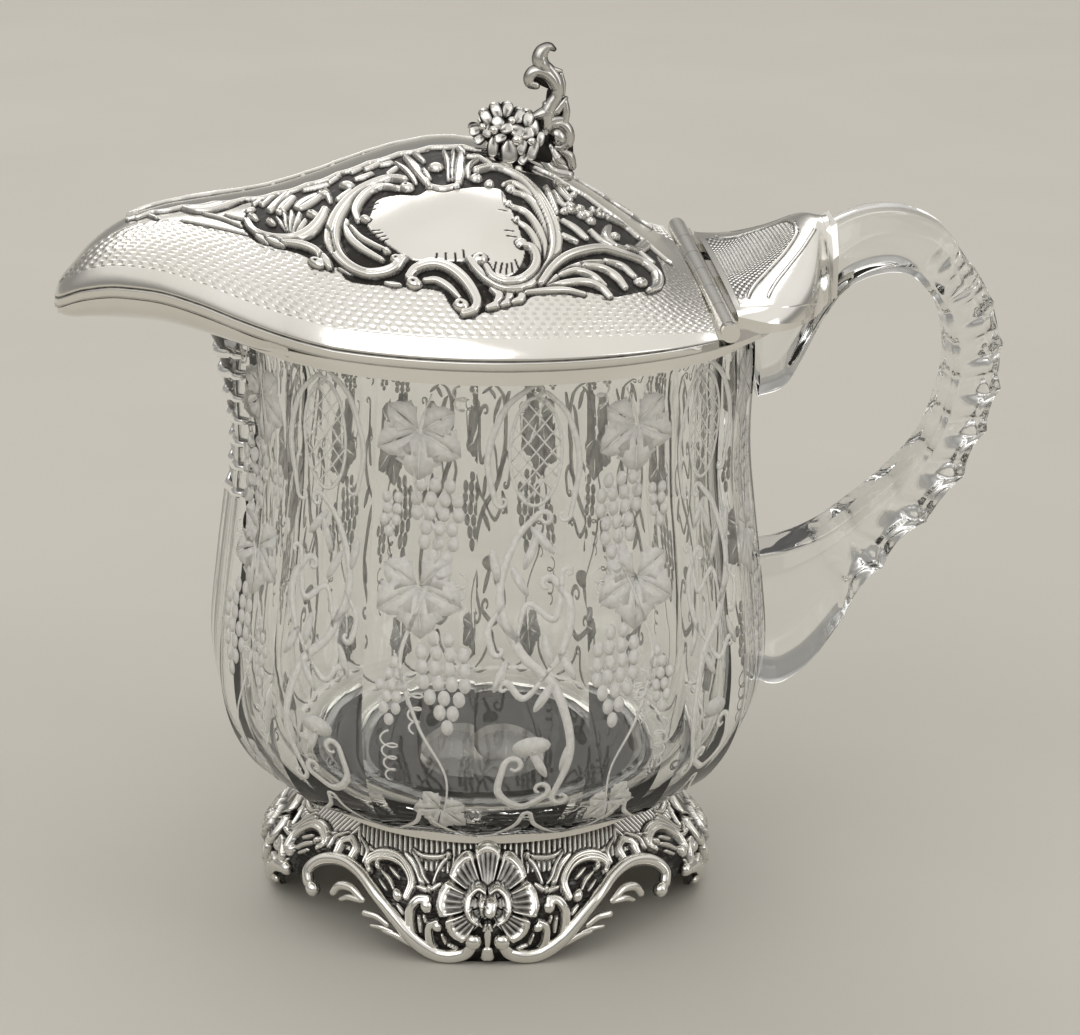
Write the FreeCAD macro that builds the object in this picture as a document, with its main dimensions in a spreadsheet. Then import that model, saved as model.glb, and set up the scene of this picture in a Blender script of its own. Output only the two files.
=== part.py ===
import FreeCAD, Part
import math
import os
import Sketcher
from FreeCAD import Placement, Rotation, Vector

# Lidded glass jug in a silver mount. The origin is on the body's axis, in the plane that the feet
# stand on. +Z is up, +X points to the handle and -X to the beak. All lengths are in millimetres.

doc = FreeCAD.newDocument("lidded_jug")

# Driving dimensions

SIZES = {
    "panel_count": 16,
    "panel_turn": 4.75,
    "belly_radius": 75.0,
    "belly_height": 71.0,
    "neck_radius": 69.2,
    "neck_height": 130.0,
    "mouth_radius": 70.2,
    "mouth_height": 165.0,
    "glass_wall": 3.4,
    "glass_floor": 9.0,
    "boss_radius": 40.0,
    "boss_depth": 8.6,
    "throat_reach": 76.5,
    "throat_width": 22.0,
    "throat_cut_depth": 2.2,
    "throat_cut_count": 7,
    "foot_height": 33.0,
    "foot_turn": -3.3,
    "foot_radius": 56.5,
    "foot_bulge": 58.8,
    "skirt_top_radius": 46.5,
    "skirt_wall": 1.6,
    "band_height": 3.2,
    "band_wall": 3.0,
    "seat_thickness": 2.0,
    "seat_hole_radius": 18.0,
    "plaster_play": 0.2,
    "arch_height": 17.5,
    "arch_half_width": 20.0,
    "arch_turn": 43.0,
    "shell_radius": 13.5,
    "shell_height": 17.0,
    "shell_rib": 3.1,
    "border_radius": 1.7,
    "foot_scroll_half_width": 1.4,
    "collar_height": 5.0,
    "collar_wall": 1.4,
    "collar_bed": 1.2,
    "flange_radius": 79.0,
    "flange_thickness": 1.4,
    "lid_radius": 80.2,
    "lid_rise": 38.0,
    "lid_play": 0.4,
    "lid_wall": 1.4,
    "lid_edge": 2.0,
    "lid_scroll_half_width": 1.5,
    "relief_height": 1.1,
    "beak_reach": 113.5,
    "beak_root": 55.0,
    "beak_lift": 5.3,
    "trough_depth": 10.0,
    "trough_wall": 1.5,
    "hinge_distance": 55.7,
    "hinge_rise": 2.8,
    "hinge_half_length": 57.0,
    "knuckle_radius": 2.6,
    "knuckle_count": 6,
    "knuckle_gap": 0.3,
    "pin_radius": 1.2,
    "pin_play": 0.05,
    "cap_length": 2.6,
    "handle_reach": 136.5,
    "handle_top": 188.7,
    "handle_foot": 56.6,
    "handle_width": 21.0,
    "notch_radius": 6.4,
    "notch_count": 10,
    "cuff_wall": 1.4,
    "cuff_play": 0.15,
    "cuff_end": 89.8,
    "plate_wall": 1.4,
    "finial_height": 27.5,
    "finial_distance": 16.0,
    "stem_radius": 1.9,
}

sheet = doc.addObject("Spreadsheet::Sheet", "sizes")
for row, (alias, value) in enumerate(SIZES.items(), start=1):
    sheet.set("A%d" % row, alias)
    sheet.set("B%d" % row, str(value))
    sheet.setAlias("B%d" % row, alias)
doc.recompute()


def size(alias):
    return float(sheet.get(alias))


# Heights and planes that several pieces share

SEAT_HEIGHT = size("mouth_height") + 1.6
RIM_HEIGHT = SEAT_HEIGHT + size("lid_play")
BARREL_CLEARANCE = 0.8
LID_BACK = size("hinge_distance") - size("knuckle_radius") - BARREL_CLEARANCE
PLATE_FRONT = size("hinge_distance") + size("knuckle_radius") + BARREL_CLEARANCE
COLLAR_INNER = size("mouth_radius") + size("collar_bed")
COLLAR_OUTER = COLLAR_INNER + size("collar_wall")
FAR = 200.0


# Helpers for outlines

def follow(points, at):
    """Smooth value at a place on an outline through the points, without overshoot."""
    if at <= points[0][0]:
        return points[0][1]
    if at >= points[-1][0]:
        return points[-1][1]
    count = len(points)
    steps = [points[i + 1][0] - points[i][0] for i in range(count - 1)]
    slopes = [(points[i + 1][1] - points[i][1]) / steps[i] for i in range(count - 1)]
    tangents = [slopes[0]]
    for i in range(1, count - 1):
        if slopes[i - 1] * slopes[i] <= 0:
            tangents.append(0.0)
        else:
            first = 2 * steps[i] + steps[i - 1]
            second = steps[i] + 2 * steps[i - 1]
            tangents.append((first + second) / (first / slopes[i - 1] + second / slopes[i]))
    tangents.append(slopes[-1])
    k = max(i for i in range(count - 1) if points[i][0] <= at)
    u = (at - points[k][0]) / steps[k]
    value = (2 * u ** 3 - 3 * u ** 2 + 1) * points[k][1]
    value += (u ** 3 - 2 * u ** 2 + u) * steps[k] * tangents[k]
    value += (3 * u ** 2 - 2 * u ** 3) * points[k + 1][1]
    value += (u ** 3 - u ** 2) * steps[k] * tangents[k + 1]
    return value


def spread(start, end, count, crowding=1.0):
    """Places from start to end; a crowding over 1 puts more of them near the start."""
    return [start + (end - start) * (i / (count - 1)) ** crowding for i in range(count)]


def curve(points, closed=False):
    """Smooth curve through the points."""
    spline = Part.BSplineCurve()
    spline.interpolate(Points=points, PeriodicFlag=closed)
    return spline.toShape()


def polar(radius, degrees, height):
    angle = math.radians(degrees)
    return Vector(radius * math.cos(angle), radius * math.sin(angle), height)


def add(label, shape, turn=0.0):
    """Sub-part whose shape is worked out from the sheet's sizes, turned about the body's axis."""
    piece = doc.addObject("Part::Feature", label)
    piece.Label = label
    piece.Shape = shape
    piece.Placement = Placement(Vector(0, 0, 0), Rotation(Vector(0, 0, 1), turn))
    return piece


def single(shape):
    """Largest solid of a cut shape, without loose chips."""
    return max(shape.Solids, key=lambda solid: solid.Volume)


def tube(points, radius):
    """Round wire along a smooth curve, with rounded ends."""
    path = Part.Wire([curve(points)])
    start = path.Edges[0].tangentAt(path.Edges[0].FirstParameter)
    disc = Part.Wire([Part.makeCircle(radius, points[0], start)])
    pipe = path.makePipeShell([disc], True, False)
    for end in (points[0], points[-1]):
        pipe = pipe.fuse(Part.makeSphere(radius * 1.25, end))
    return pipe


def ribbon(points, half_width, depth):
    """Band along a plane curve, thinner towards its round ends, extruded by depth."""
    middle = curve(points)
    first, last = middle.FirstParameter, middle.LastParameter
    across = Vector(depth).normalize()
    left, right = [], []
    for share in spread(0.0, 1.0, 2 * len(points) - 1):
        at = first + (last - first) * share
        half = half_width * (0.6 + 0.4 * math.sin(math.pi * share))
        out = across.cross(middle.tangentAt(at)) * half
        left.append(middle.valueAt(at) + out)
        right.append(middle.valueAt(at) - out)
    start = middle.valueAt(first) - middle.tangentAt(first) * half_width * 0.6
    end = middle.valueAt(last) + middle.tangentAt(last) * half_width * 0.6
    edges = [
        curve(left),
        Part.Arc(left[-1], end, right[-1]).toShape(),
        curve(right[::-1]),
        Part.Arc(right[0], start, left[0]).toShape(),
    ]
    return Part.Face(Part.Wire(edges)).extrude(depth)


# Turned rings: sketch of the section, revolved about the axis

def ring(label, inner, outer, low, high):
    """Turned ring whose radii and heights are expressions in the sheet's names."""
    body = doc.addObject("PartDesign::Body", label)
    body.Label = label
    plane = [item for item in body.Origin.OriginFeatures if item.Role == "XZ_Plane"][0]
    sketch = body.newObject("Sketcher::SketchObject", label + "_section")
    sketch.AttachmentSupport = [(plane, "")]
    sketch.MapMode = "FlatFace"
    corners = [Vector(10, 1, 0), Vector(20, 1, 0), Vector(20, 2, 0), Vector(10, 2, 0)]
    for i in range(4):
        sketch.addGeometry(Part.LineSegment(corners[i], corners[(i + 1) % 4]), False)
    for i in range(4):
        sketch.addConstraint(Sketcher.Constraint("Coincident", i, 2, (i + 1) % 4, 1))
    for i in range(4):
        way = "Horizontal" if i % 2 == 0 else "Vertical"
        sketch.addConstraint(Sketcher.Constraint(way, i))
    spans = [("inner", "DistanceX", 0, inner), ("outer", "DistanceX", 1, outer),
             ("low", "DistanceY", 0, low), ("high", "DistanceY", 2, high)]
    for name, kind, line, expression in spans:
        start = corners[line]
        value = start.x if kind == "DistanceX" else start.y
        index = sketch.addConstraint(Sketcher.Constraint(kind, -1, 1, line, 1, value))
        sketch.renameConstraint(index, name)
        sketch.setExpression("Constraints." + name, expression)
    doc.recompute()
    turned = body.newObject("PartDesign::Revolution", label + "_turned")
    turned.Profile = sketch
    turned.ReferenceAxis = (sketch, ["V_Axis"])
    turned.Angle = 360.0
    doc.recompute()
    return body


# Handle: an eight-sided bar along a loop, wide at both roots

HANDLE_LOOP = [
    # outer point and inner point, each as share of reach beyond the belly and of handle height
    ((-0.08, 0.833), (-0.08, 0.624)),
    ((0.065, 0.908), (0.033, 0.643)),
    ((0.179, 0.949), (0.106, 0.699)),
    ((0.293, 0.981), (0.182, 0.772)),
    ((0.423, 0.998), (0.285, 0.843)),
    ((0.569, 0.994), (0.423, 0.875)),
    ((0.715, 0.962), (0.561, 0.873)),
    ((0.842, 0.889), (0.678, 0.822)),
    ((0.935, 0.824), (0.738, 0.771)),
    ((0.995, 0.726), (0.766, 0.692)),
    ((0.992, 0.618), (0.748, 0.621)),
    ((0.920, 0.515), (0.676, 0.522)),
    ((0.797, 0.403), (0.537, 0.443)),
    ((0.580, 0.292), (0.350, 0.368)),
    ((0.390, 0.176), (0.211, 0.324)),
    ((0.228, 0.064), (0.073, 0.299)),
    ((0.081, 0.0), (-0.08, 0.288)),
]
# Sections between which the side faces are scooped
NOTCH_SPAN = (6.3, 13.4)


def handle_point(share):
    along = size("belly_radius") + share[0] * (size("handle_reach") - size("belly_radius"))
    height = size("handle_foot") + share[1] * (size("handle_top") - size("handle_foot"))
    return Vector(along, 0, height)


def handle_section(pair, grow):
    """Eight-sided section between an outer and an inner point of the loop."""
    outer = handle_point(pair[0])
    inner = handle_point(pair[1])
    out = (outer - inner).normalize()
    depth = (outer - inner).Length + 2 * grow
    start = inner - out * grow
    half = size("handle_width") / 2 + grow
    corners = [(0.80, 0.0), (1.0, 0.15), (1.0, 0.74), (0.60, 1.0)]
    ring_of = corners + [(-across, up) for across, up in reversed(corners)]
    points = [start + Vector(0, half * across, 0) + out * (depth * up) for across, up in ring_of]
    return Part.makePolygon(points + [points[0]])


def handle_bar(grow=0.0, first=0, last=len(HANDLE_LOOP)):
    wires = [handle_section(pair, grow) for pair in HANDLE_LOOP[first:last]]
    return Part.makeLoft(wires, True, False)


def handle_notches():
    """Round scoops down both side faces of the bar, at even steps along its middle."""
    middle = [(handle_point(outer) + handle_point(inner)) * 0.5 for outer, inner in HANDLE_LOOP]
    lengths = [0.0]
    for here, there in zip(middle, middle[1:]):
        lengths.append(lengths[-1] + (there - here).Length)
    first, last = [follow(list(enumerate(lengths)), place) for place in NOTCH_SPAN]
    sections = [(length, i) for i, length in enumerate(lengths)]
    radius = size("notch_radius")
    scoops = []
    for along in spread(first, last, int(size("notch_count"))):
        place = follow(sections, along)
        k = int(place)
        u = place - k
        outer = handle_point(HANDLE_LOOP[k][0]) * (1 - u) + handle_point(HANDLE_LOOP[k + 1][0]) * u
        inner = handle_point(HANDLE_LOOP[k][1]) * (1 - u) + handle_point(HANDLE_LOOP[k + 1][1]) * u
        for side in (-1, 1):
            across = side * (size("handle_width") / 2 + radius * 0.64)
            scoops.append(Part.makeSphere(radius, inner + (outer - inner) * 0.55 + Vector(0, across, 0)))
    return scoops


# Glass body

def glass_radius(height):
    """Radius to the ridges between the panels."""
    foot = size("foot_height")
    belly = size("belly_height")
    outline = [
        (foot, size("boss_radius") + 6.0),
        (foot + 2.0, size("belly_radius") * 0.74),
        (foot + 0.13 * (belly - foot), size("belly_radius") * 0.82),
        (foot + 0.27 * (belly - foot), size("belly_radius") * 0.89),
        (foot + 0.50 * (belly - foot), size("belly_radius") * 0.955),
        (foot + 0.75 * (belly - foot), size("belly_radius") * 0.99),
        (belly, size("belly_radius")),
        (belly + 0.45 * (size("neck_height") - belly), size("belly_radius") * 0.967),
        (size("neck_height"), size("neck_radius")),
        (size("mouth_height"), size("mouth_radius")),
    ]
    return follow(outline, height)


def panel_ring(radius, height):
    count = int(size("panel_count"))
    turn = size("panel_turn")
    points = [polar(radius, 360.0 * (i + 0.5) / count + turn, height) for i in range(count)]
    return Part.makePolygon(points + [points[0]])


def glass_outside():
    foot = size("foot_height")
    heights = spread(foot, size("belly_height"), 9, 1.8)
    heights += spread(size("belly_height"), size("mouth_height"), 8)[1:]
    return Part.makeLoft([panel_ring(glass_radius(z), z) for z in heights], True, False)


def glass_hollow():
    foot = size("foot_height")
    low = foot + size("glass_floor")
    heights = spread(low, size("mouth_height"), 12, 1.3)
    flat = math.cos(math.pi / size("panel_count"))
    side = [Vector(glass_radius(z) * flat - size("glass_wall"), 0, z) for z in heights]
    side[0].x = side[0].x * 0.72
    side[1].x = side[1].x * 0.985
    top = Vector(side[-1].x, 0, FAR)
    edges = [
        Part.makeLine(Vector(0, 0, low), side[0]),
        curve(side),
        Part.makeLine(side[-1], top),
        Part.makeLine(top, Vector(0, 0, FAR)),
        Part.makeLine(Vector(0, 0, FAR), Vector(0, 0, low)),
    ]
    return Part.Face(Part.Wire(edges)).revolve(Vector(0, 0, 0), Vector(0, 0, 1), 360)


def throat_swell():
    """Solid glass swelling that carries the beak's channel."""
    top = size("mouth_height") - size("collar_height") + 1.2
    low = size("neck_height") - 6.0
    reach = [
        (low, size("neck_radius") - 2.0),
        (low + 0.35 * (top - low), size("neck_radius") + 0.2),
        (low + 0.70 * (top - low), size("neck_radius") + 2.2),
        (top, size("throat_reach")),
    ]
    wires = []
    for z in spread(low, top, 6):
        half = size("throat_width") * (0.75 + 0.25 * (z - low) / (top - low))
        depth = follow(reach, z)
        back = 40.0
        points = []
        for i in range(9):
            turn = math.pi * (i / 8 - 0.5)
            points.append(Vector(-back - (depth - back) * math.cos(turn), half * math.sin(turn), z))
        wires.append(Part.Wire([curve(points), Part.makeLine(points[-1], points[0])]))
    return Part.makeLoft(wires, True, False)


def throat_cuts():
    """Stepped V cuts down the middle of the throat and oval cuts on both sides of them."""
    cutters = []
    count = int(size("throat_cut_count"))
    top = size("mouth_height") - size("collar_height") - 7.0
    low = size("neck_height") - 14.0
    depth = size("throat_cut_depth")
    for i in range(count):
        z = top + (low - top) * i / (count - 1)
        swell = max(0.0, (z - size("neck_height")) / (top - size("neck_height")))
        reach = size("neck_radius") + (size("throat_reach") - size("neck_radius")) * 0.55 * swell ** 1.6
        prism = Part.makeBox(depth * 2.6, 26.0, depth * 2.6)
        prism.translate(Vector(-depth * 1.3, -13.0, -depth * 1.3))
        prism.rotate(Vector(0, 0, 0), Vector(0, 1, 0), 45)
        prism.translate(Vector(-reach - depth * 0.75, 0, z))
        cutters.append(prism)
        for side in (-1, 1):
            oval = Part.makeSphere(7.0)
            centre = polar(glass_radius(z) + 7.0 - depth, 180 + side * 24, z - 3.2)
            oval.translate(centre)
            cutters.append(oval)
    return cutters


# Lid and beak

BEAK_PLAN = [(0.0, 0.05), (0.015, 0.11), (0.06, 0.185), (0.13, 0.262), (0.30, 0.41), (0.47, 0.548),
             (0.64, 0.688), (0.81, 0.834), (1.0, 1.0)]
CROWN_FRONT = [(-1.0, 0.0), (-0.99, 0.075), (-0.964, 0.17), (-0.917, 0.325), (-0.871, 0.43),
               (-0.825, 0.50), (-0.745, 0.565), (-0.64, 0.605), (-0.52, 0.655), (-0.41, 0.745),
               (-0.30, 0.865), (-0.20, 0.955), (-0.10, 1.0), (0.0, 0.965)]
CROWN_BACK = [(0.0, 0.965), (0.18, 0.87), (0.39, 0.697), (0.56, 0.53), (0.70, 0.37), (0.83, 0.225),
              (1.0, 0.07)]
RIM_LIFT = [(0.0, -0.60), (0.04, -0.28), (0.13, 0.30), (0.30, 0.85), (0.47, 1.0), (0.64, 0.81),
            (0.81, 0.45), (1.0, 0.15), (1.2, 0.0)]


def beak_share(along):
    """Place along the beak, 0 at its tip and 1 where it leaves the round rim."""
    return (along + size("beak_reach")) / (size("beak_reach") - size("beak_root"))


def rim_half(along):
    """Half width of the lid's rim."""
    if along >= -size("beak_root"):
        return math.sqrt(size("lid_radius") ** 2 - along ** 2)
    full = math.sqrt(size("lid_radius") ** 2 - size("beak_root") ** 2)
    return full * follow(BEAK_PLAN, beak_share(along))


def rim_low(along):
    """Height of the lid's rim, which lifts along the beak."""
    return RIM_HEIGHT + size("beak_lift") * follow(RIM_LIFT, beak_share(along))


def crown(along):
    """Height of the lid along its middle."""
    if along < 0:
        share = follow(CROWN_FRONT, along / size("beak_reach"))
    else:
        share = follow(CROWN_BACK, along / size("hinge_distance"))
    return RIM_HEIGHT + size("lid_rise") * share


def fullness(along):
    """Shape of the lid's cross-section: 1 is an ellipse, 2 a parabola."""
    return follow([(-size("beak_reach"), 0.9), (-0.7 * size("beak_reach"), 1.15),
                   (-0.3 * size("beak_reach"), 1.5), (size("hinge_distance"), 1.5)], along)


def arch_wire(along, half, low, edge, top, power):
    """Closed section: short upright edges, an arch over them and a flat bottom."""
    points = []
    count = 13
    for i in range(count):
        turn = math.pi * (i / (count - 1) - 0.5)
        rise = max(0.0, math.cos(turn)) ** power
        points.append(Vector(along, half * math.sin(turn), low + edge + (top - low - edge) * rise))
    left = Vector(along, -half, low)
    right = Vector(along, half, low)
    edges = [
        Part.makeLine(left, points[0]),
        curve(points),
        Part.makeLine(points[-1], right),
        Part.makeLine(right, left),
    ]
    return Part.Wire(edges)


def lid_outside(grow=0.0):
    wires = []
    for along in spread(-size("beak_reach"), LID_BACK, 22, 1.7):
        low = rim_low(along)
        half = rim_half(along) + grow
        top = max(crown(along), low + size("lid_edge") + 0.6) + grow
        wires.append(arch_wire(along, half, low, size("lid_edge"), top, fullness(along)))
    return Part.makeLoft(wires, True, False)


def lid_hollow():
    wall = size("lid_wall")
    deep = 12.0
    wires = []
    for along in spread(-size("beak_reach") + 2.2, LID_BACK - wall, 18, 1.5):
        low = rim_low(along)
        half = rim_half(along) - wall * 1.1
        top = max(crown(along) - wall * 1.05, low + size("lid_edge"))
        wires.append(arch_wire(along, half, low - deep, deep + size("lid_edge") * 0.6, top,
                               fullness(along)))
    return Part.makeLoft(wires, True, False)


# Raised scrolls on each side of the lid: places along it, each with the turn from the crown
LID_SCROLLS = [
    [(-26.0, 15), (-35.0, 16), (-40.5, 22), (-42.8, 31), (-39.3, 46), (-32.0, 51), (-26.0, 48)],
    [(-3.0, 13), (4.6, 10), (10.6, 18), (13.5, 30), (12.0, 43), (5.0, 53), (-5.0, 54)],
    [(-24.0, 54), (-18.5, 50), (-13.0, 51), (-9.2, 57), (-8.5, 63)],
    [(9.0, 51), (15.0, 43), (24.0, 33), (33.0, 28), (38.0, 32)],
    [(-63.0, 24), (-59.0, 30), (-52.0, 34), (-46.5, 31), (-44.5, 24)],
]


def lid_relief():
    """Raised scrolls of the lid, reaching down into its solid."""
    ribbons = []
    for side in (-1, 1):
        for outline in LID_SCROLLS:
            points = []
            for along, turn in outline:
                across = side * rim_half(along) * math.sin(math.radians(turn))
                points.append(Vector(along, across, RIM_HEIGHT))
            up = Vector(0, 0, 2 * size("lid_rise"))
            ribbons.append(ribbon(points, size("lid_scroll_half_width"), up))
    return lid_outside(size("relief_height")).common(ribbons)


def trough_solid(inset, floor_lift, front):
    """Solid whose lower side is the channel's underside, raised by floor_lift."""
    wires = []
    keel = [(0.0, 0.16), (0.10, 0.62), (0.35, 0.95), (0.60, 1.0), (1.0, 0.85)]
    for along in spread(-size("beak_reach") + front, -size("beak_root") + 1.0, 14, 1.4):
        top = rim_low(along) - size("lid_play")
        depth = size("trough_depth") * follow(keel, beak_share(along)) - floor_lift
        half = rim_half(along) - 0.7 - inset
        points = []
        for i in range(11):
            turn = math.pi * (i / 10 - 0.5)
            points.append(Vector(along, half * math.sin(turn), top - depth * math.cos(turn)))
        high = top + (0.0 if inset == 0 else 3.0)
        left = Vector(along, -half, high)
        right = Vector(along, half, high)
        if inset == 0:
            edges = [curve(points), Part.makeLine(points[-1], points[0])]
        else:
            edges = [
                Part.makeLine(left, points[0]),
                curve(points),
                Part.makeLine(points[-1], right),
                Part.makeLine(right, left),
            ]
        wires.append(Part.Wire(edges))
    return Part.makeLoft(wires, True, False)


# Plate behind the hinge

PLATE_PLAN = [(0.0, 0.575), (0.25, 0.572), (0.42, 0.545), (0.60, 0.475), (0.74, 0.395), (0.86, 0.285),
              (0.95, 0.205), (1.0, 0.185)]
PLATE_CROWN = [(0.0, 0.267), (0.11, 0.303), (0.25, 0.38), (0.42, 0.516), (0.58, 0.652), (0.72, 0.79),
               (0.84, 0.877), (1.0, 0.885)]
PLATE_FLANK = [(0.0, 4.4), (0.4, 2.0), (0.7, 1.2), (1.0, 1.2)]


def plate_loft(inset, first, last):
    wires = []
    end = size("cuff_end") - 1.6
    for along in spread(first, last, 9):
        share = (along - PLATE_FRONT) / (end - PLATE_FRONT)
        half = size("flange_radius") * follow(PLATE_PLAN, share) - inset
        rise = (size("handle_top") - SEAT_HEIGHT) * follow(PLATE_CROWN, share) - inset
        low = SEAT_HEIGHT - (0.0 if inset == 0 else 6.0)
        edge = SEAT_HEIGHT - low + follow(PLATE_FLANK, share) - inset * 0.5
        wires.append(arch_wire(along, half, low, edge, SEAT_HEIGHT + rise, 1.0))
    return Part.makeLoft(wires, True, False)


# Foot

def skirt_radius(height):
    top = size("foot_height") - size("band_height")
    outline = [
        (0.0, size("foot_radius")),
        (0.25 * top, size("foot_bulge")),
        (0.50 * top, size("foot_bulge") - 0.8),
        (0.75 * top, (size("foot_bulge") + size("skirt_top_radius")) / 2),
        (top, size("skirt_top_radius")),
    ]
    return follow(outline, height)


def skirt_revolved(inset):
    top = size("foot_height") - size("band_height")
    low = -1.0 if inset else 0.0
    high = top + 1.0 if inset else top
    heights = spread(0.0, top, 9)
    side = [Vector(skirt_radius(z) - inset, 0, z) for z in heights]
    if inset:
        side[0].z = low
        side[-1].z = high
    edges = [
        Part.makeLine(Vector(0, 0, low), side[0]),
        curve(side),
        Part.makeLine(side[-1], Vector(0, 0, high)),
        Part.makeLine(Vector(0, 0, high), Vector(0, 0, low)),
    ]
    return Part.Face(Part.Wire(edges)).revolve(Vector(0, 0, 0), Vector(0, 0, 1), 360)


# Arch outline: share of half width, towards the side foot, and share of height
ARCH = [(-1.0, 0.0), (-0.833, 0.40), (-0.593, 0.714), (-0.298, 0.926), (0.0, 1.0), (0.298, 0.926),
        (0.593, 0.714), (0.833, 0.617), (1.114, 0.583), (1.38, 0.474), (1.635, 0.331), (1.87, 0.149),
        (1.99, 0.0)]


def arch_cutter(degrees, side):
    """Arch between two feet, pushed outward through the skirt."""
    start = 30
    below = Vector(0, 0, -1)
    width = side * size("arch_half_width")
    points = [Vector(start, width * across, size("arch_height") * up) for across, up in ARCH]
    edges = [
        curve(points),
        Part.makeLine(points[-1], points[-1] + below),
        Part.makeLine(points[-1] + below, points[0] + below),
        Part.makeLine(points[0] + below, points[0]),
    ]
    solid = Part.Face(Part.Wire(edges)).extrude(Vector(50, 0, 0))
    solid.rotate(Vector(0, 0, 0), Vector(0, 0, 1), degrees)
    return solid


def shell_solid():
    """Cast shell on the +X side: ribs that fan out from a boss, laid on the skirt."""
    length = size("shell_radius")
    thick = size("shell_rib")
    solid = Part.makeSphere(thick * 1.15, Vector(thick * 0.9, 0, 0))
    for turn in (-129, -86, -43, 0, 43, 86, 129):
        reach = (length - thick) * (1.0 if abs(turn) < 90 else 0.85)
        rib = Part.makeCone(thick * 0.55, thick, reach)
        rib = rib.fuse(Part.makeSphere(thick, Vector(0, 0, reach)))
        rib.rotate(Vector(0, 0, 0), Vector(1, 0, 0), turn)
        solid = solid.fuse(rib)
    height = size("shell_height")
    lean = math.degrees(math.atan2(skirt_radius(height - 8) - skirt_radius(height + 8), 16))
    solid.rotate(Vector(0, 0, 0), Vector(0, 1, 0), -lean)
    solid.translate(Vector(skirt_radius(height) - 0.2, 0, height))
    return solid


# Raised scroll on each half of each foot: turns from the foot's middle, each with its height
FOOT_SCROLL = [(22.0, 17.0), (22.2, 20.5), (25.5, 24.0), (31.0, 24.8), (35.5, 22.0)]


def foot_relief():
    """Raised scrolls of the skirt, reaching down into its solid."""
    ribbons = []
    middle = (FOOT_SCROLL[0][0] + FOOT_SCROLL[-1][0]) / 2
    start = size("skirt_top_radius") / 2
    for degrees in (0, 90, 180, 270):
        for side in (-1, 1):
            points = []
            for turn, height in FOOT_SCROLL:
                across = side * math.radians(turn - middle) * size("foot_bulge")
                points.append(Vector(start, across, height))
            band = ribbon(points, size("foot_scroll_half_width"), Vector(size("foot_bulge"), 0, 0))
            band.rotate(Vector(0, 0, 0), Vector(0, 0, 1), degrees + size("foot_turn") + side * middle)
            ribbons.append(band)
    return skirt_revolved(-size("relief_height")).common(ribbons)


LONG_BORDER = [(4.6, 6.9), (5.2, 3.8), (9.0, 2.15), (15.5, 2.4), (22.5, 6.4), (30.0, 14.5),
               (38.5, 20.3), (48.0, 20.3), (55.5, 16.0), (57.0, 10.5)]
SHORT_BORDER = [(3.0, 6.2), (5.4, 3.4), (9.2, 4.6), (13.5, 7.9), (18.5, 10.5), (25.0, 12.2)]


def border_solid(outline):
    """Pair of scrolls that edge the foot on the +X side."""
    scrolls = []
    for side in (-1, 1):
        points = [polar(skirt_radius(z) + 0.9, side * turn, z) for turn, z in outline]
        scrolls.append(tube(points, size("border_radius")))
    return scrolls[0].fuse(scrolls[1])


# Build the foot

skirt_outer = skirt_revolved(0.0).fuse(foot_relief())
skirt_inner = skirt_revolved(size("skirt_wall"))
arches = []
for degrees in (90, 270):
    for side in (-1, 1):
        arches.append(arch_cutter(degrees + size("foot_turn") + side * size("arch_turn"), side))
skirt = skirt_outer.cut([skirt_inner] + arches)
foot_skirt = add("foot_skirt", skirt)

borders = {"long": border_solid(LONG_BORDER), "short": border_solid(SHORT_BORDER)}
shell = shell_solid().cut([skirt_outer])
FEET = {"near": (270, "long"), "far": (90, "long"), "spout": (180, "short"), "handle": (0, "short")}
foot_trim = []
for place, (degrees, kind) in FEET.items():
    for label, solid in (("foot_border_", borders[kind].cut([skirt_outer])),
                         ("foot_shell_", single(shell.cut([borders[kind]])))):
        foot_trim.append(add(label + place, solid, degrees + size("foot_turn")))

foot_band = ring(
    "foot_band",
    "sizes.skirt_top_radius + 1.5 - sizes.band_wall",
    "sizes.skirt_top_radius + 1.5",
    "sizes.foot_height - sizes.band_height",
    "sizes.foot_height",
)
foot_seat = ring(
    "foot_seat",
    "sizes.seat_hole_radius",
    "sizes.foot_bulge * 0.835",
    "sizes.foot_height - sizes.boss_depth - sizes.seat_thickness",
    "sizes.foot_height - sizes.boss_depth",
)
foot_plaster = ring(
    "foot_plaster",
    "sizes.boss_radius + sizes.plaster_play",
    "sizes.skirt_top_radius - sizes.skirt_wall - sizes.plaster_play",
    "sizes.foot_height - sizes.boss_depth",
    "sizes.foot_height - sizes.plaster_play",
)

# Build the glass

trough_outer = trough_solid(0.0, 0.0, 0.8)
trough_inner = trough_solid(size("trough_wall"), size("trough_wall"), 2.6)
bar = handle_bar()
bar_envelope = handle_bar(size("cuff_play"), 0, 8)
cuff_envelope = handle_bar(size("cuff_play") + size("cuff_wall"), 0, 8)

boss = Part.makeCylinder(size("boss_radius"), size("boss_depth") + 1.0,
                         Vector(0, 0, size("foot_height") - size("boss_depth")))
body_outer = glass_outside()
swelling = throat_swell()
glass = body_outer.fuse([boss, swelling]).cut([glass_hollow(), trough_inner] + throat_cuts())
glass = single(glass.cut([trough_outer.cut(Part.makeCylinder(COLLAR_OUTER, FAR))]))
glass_body = add("glass_body", glass)

handle = single(bar.cut([body_outer, glass_hollow()] + handle_notches()))
glass_handle = add("glass_handle", handle)

# Build the mount that is fixed to the glass

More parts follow.
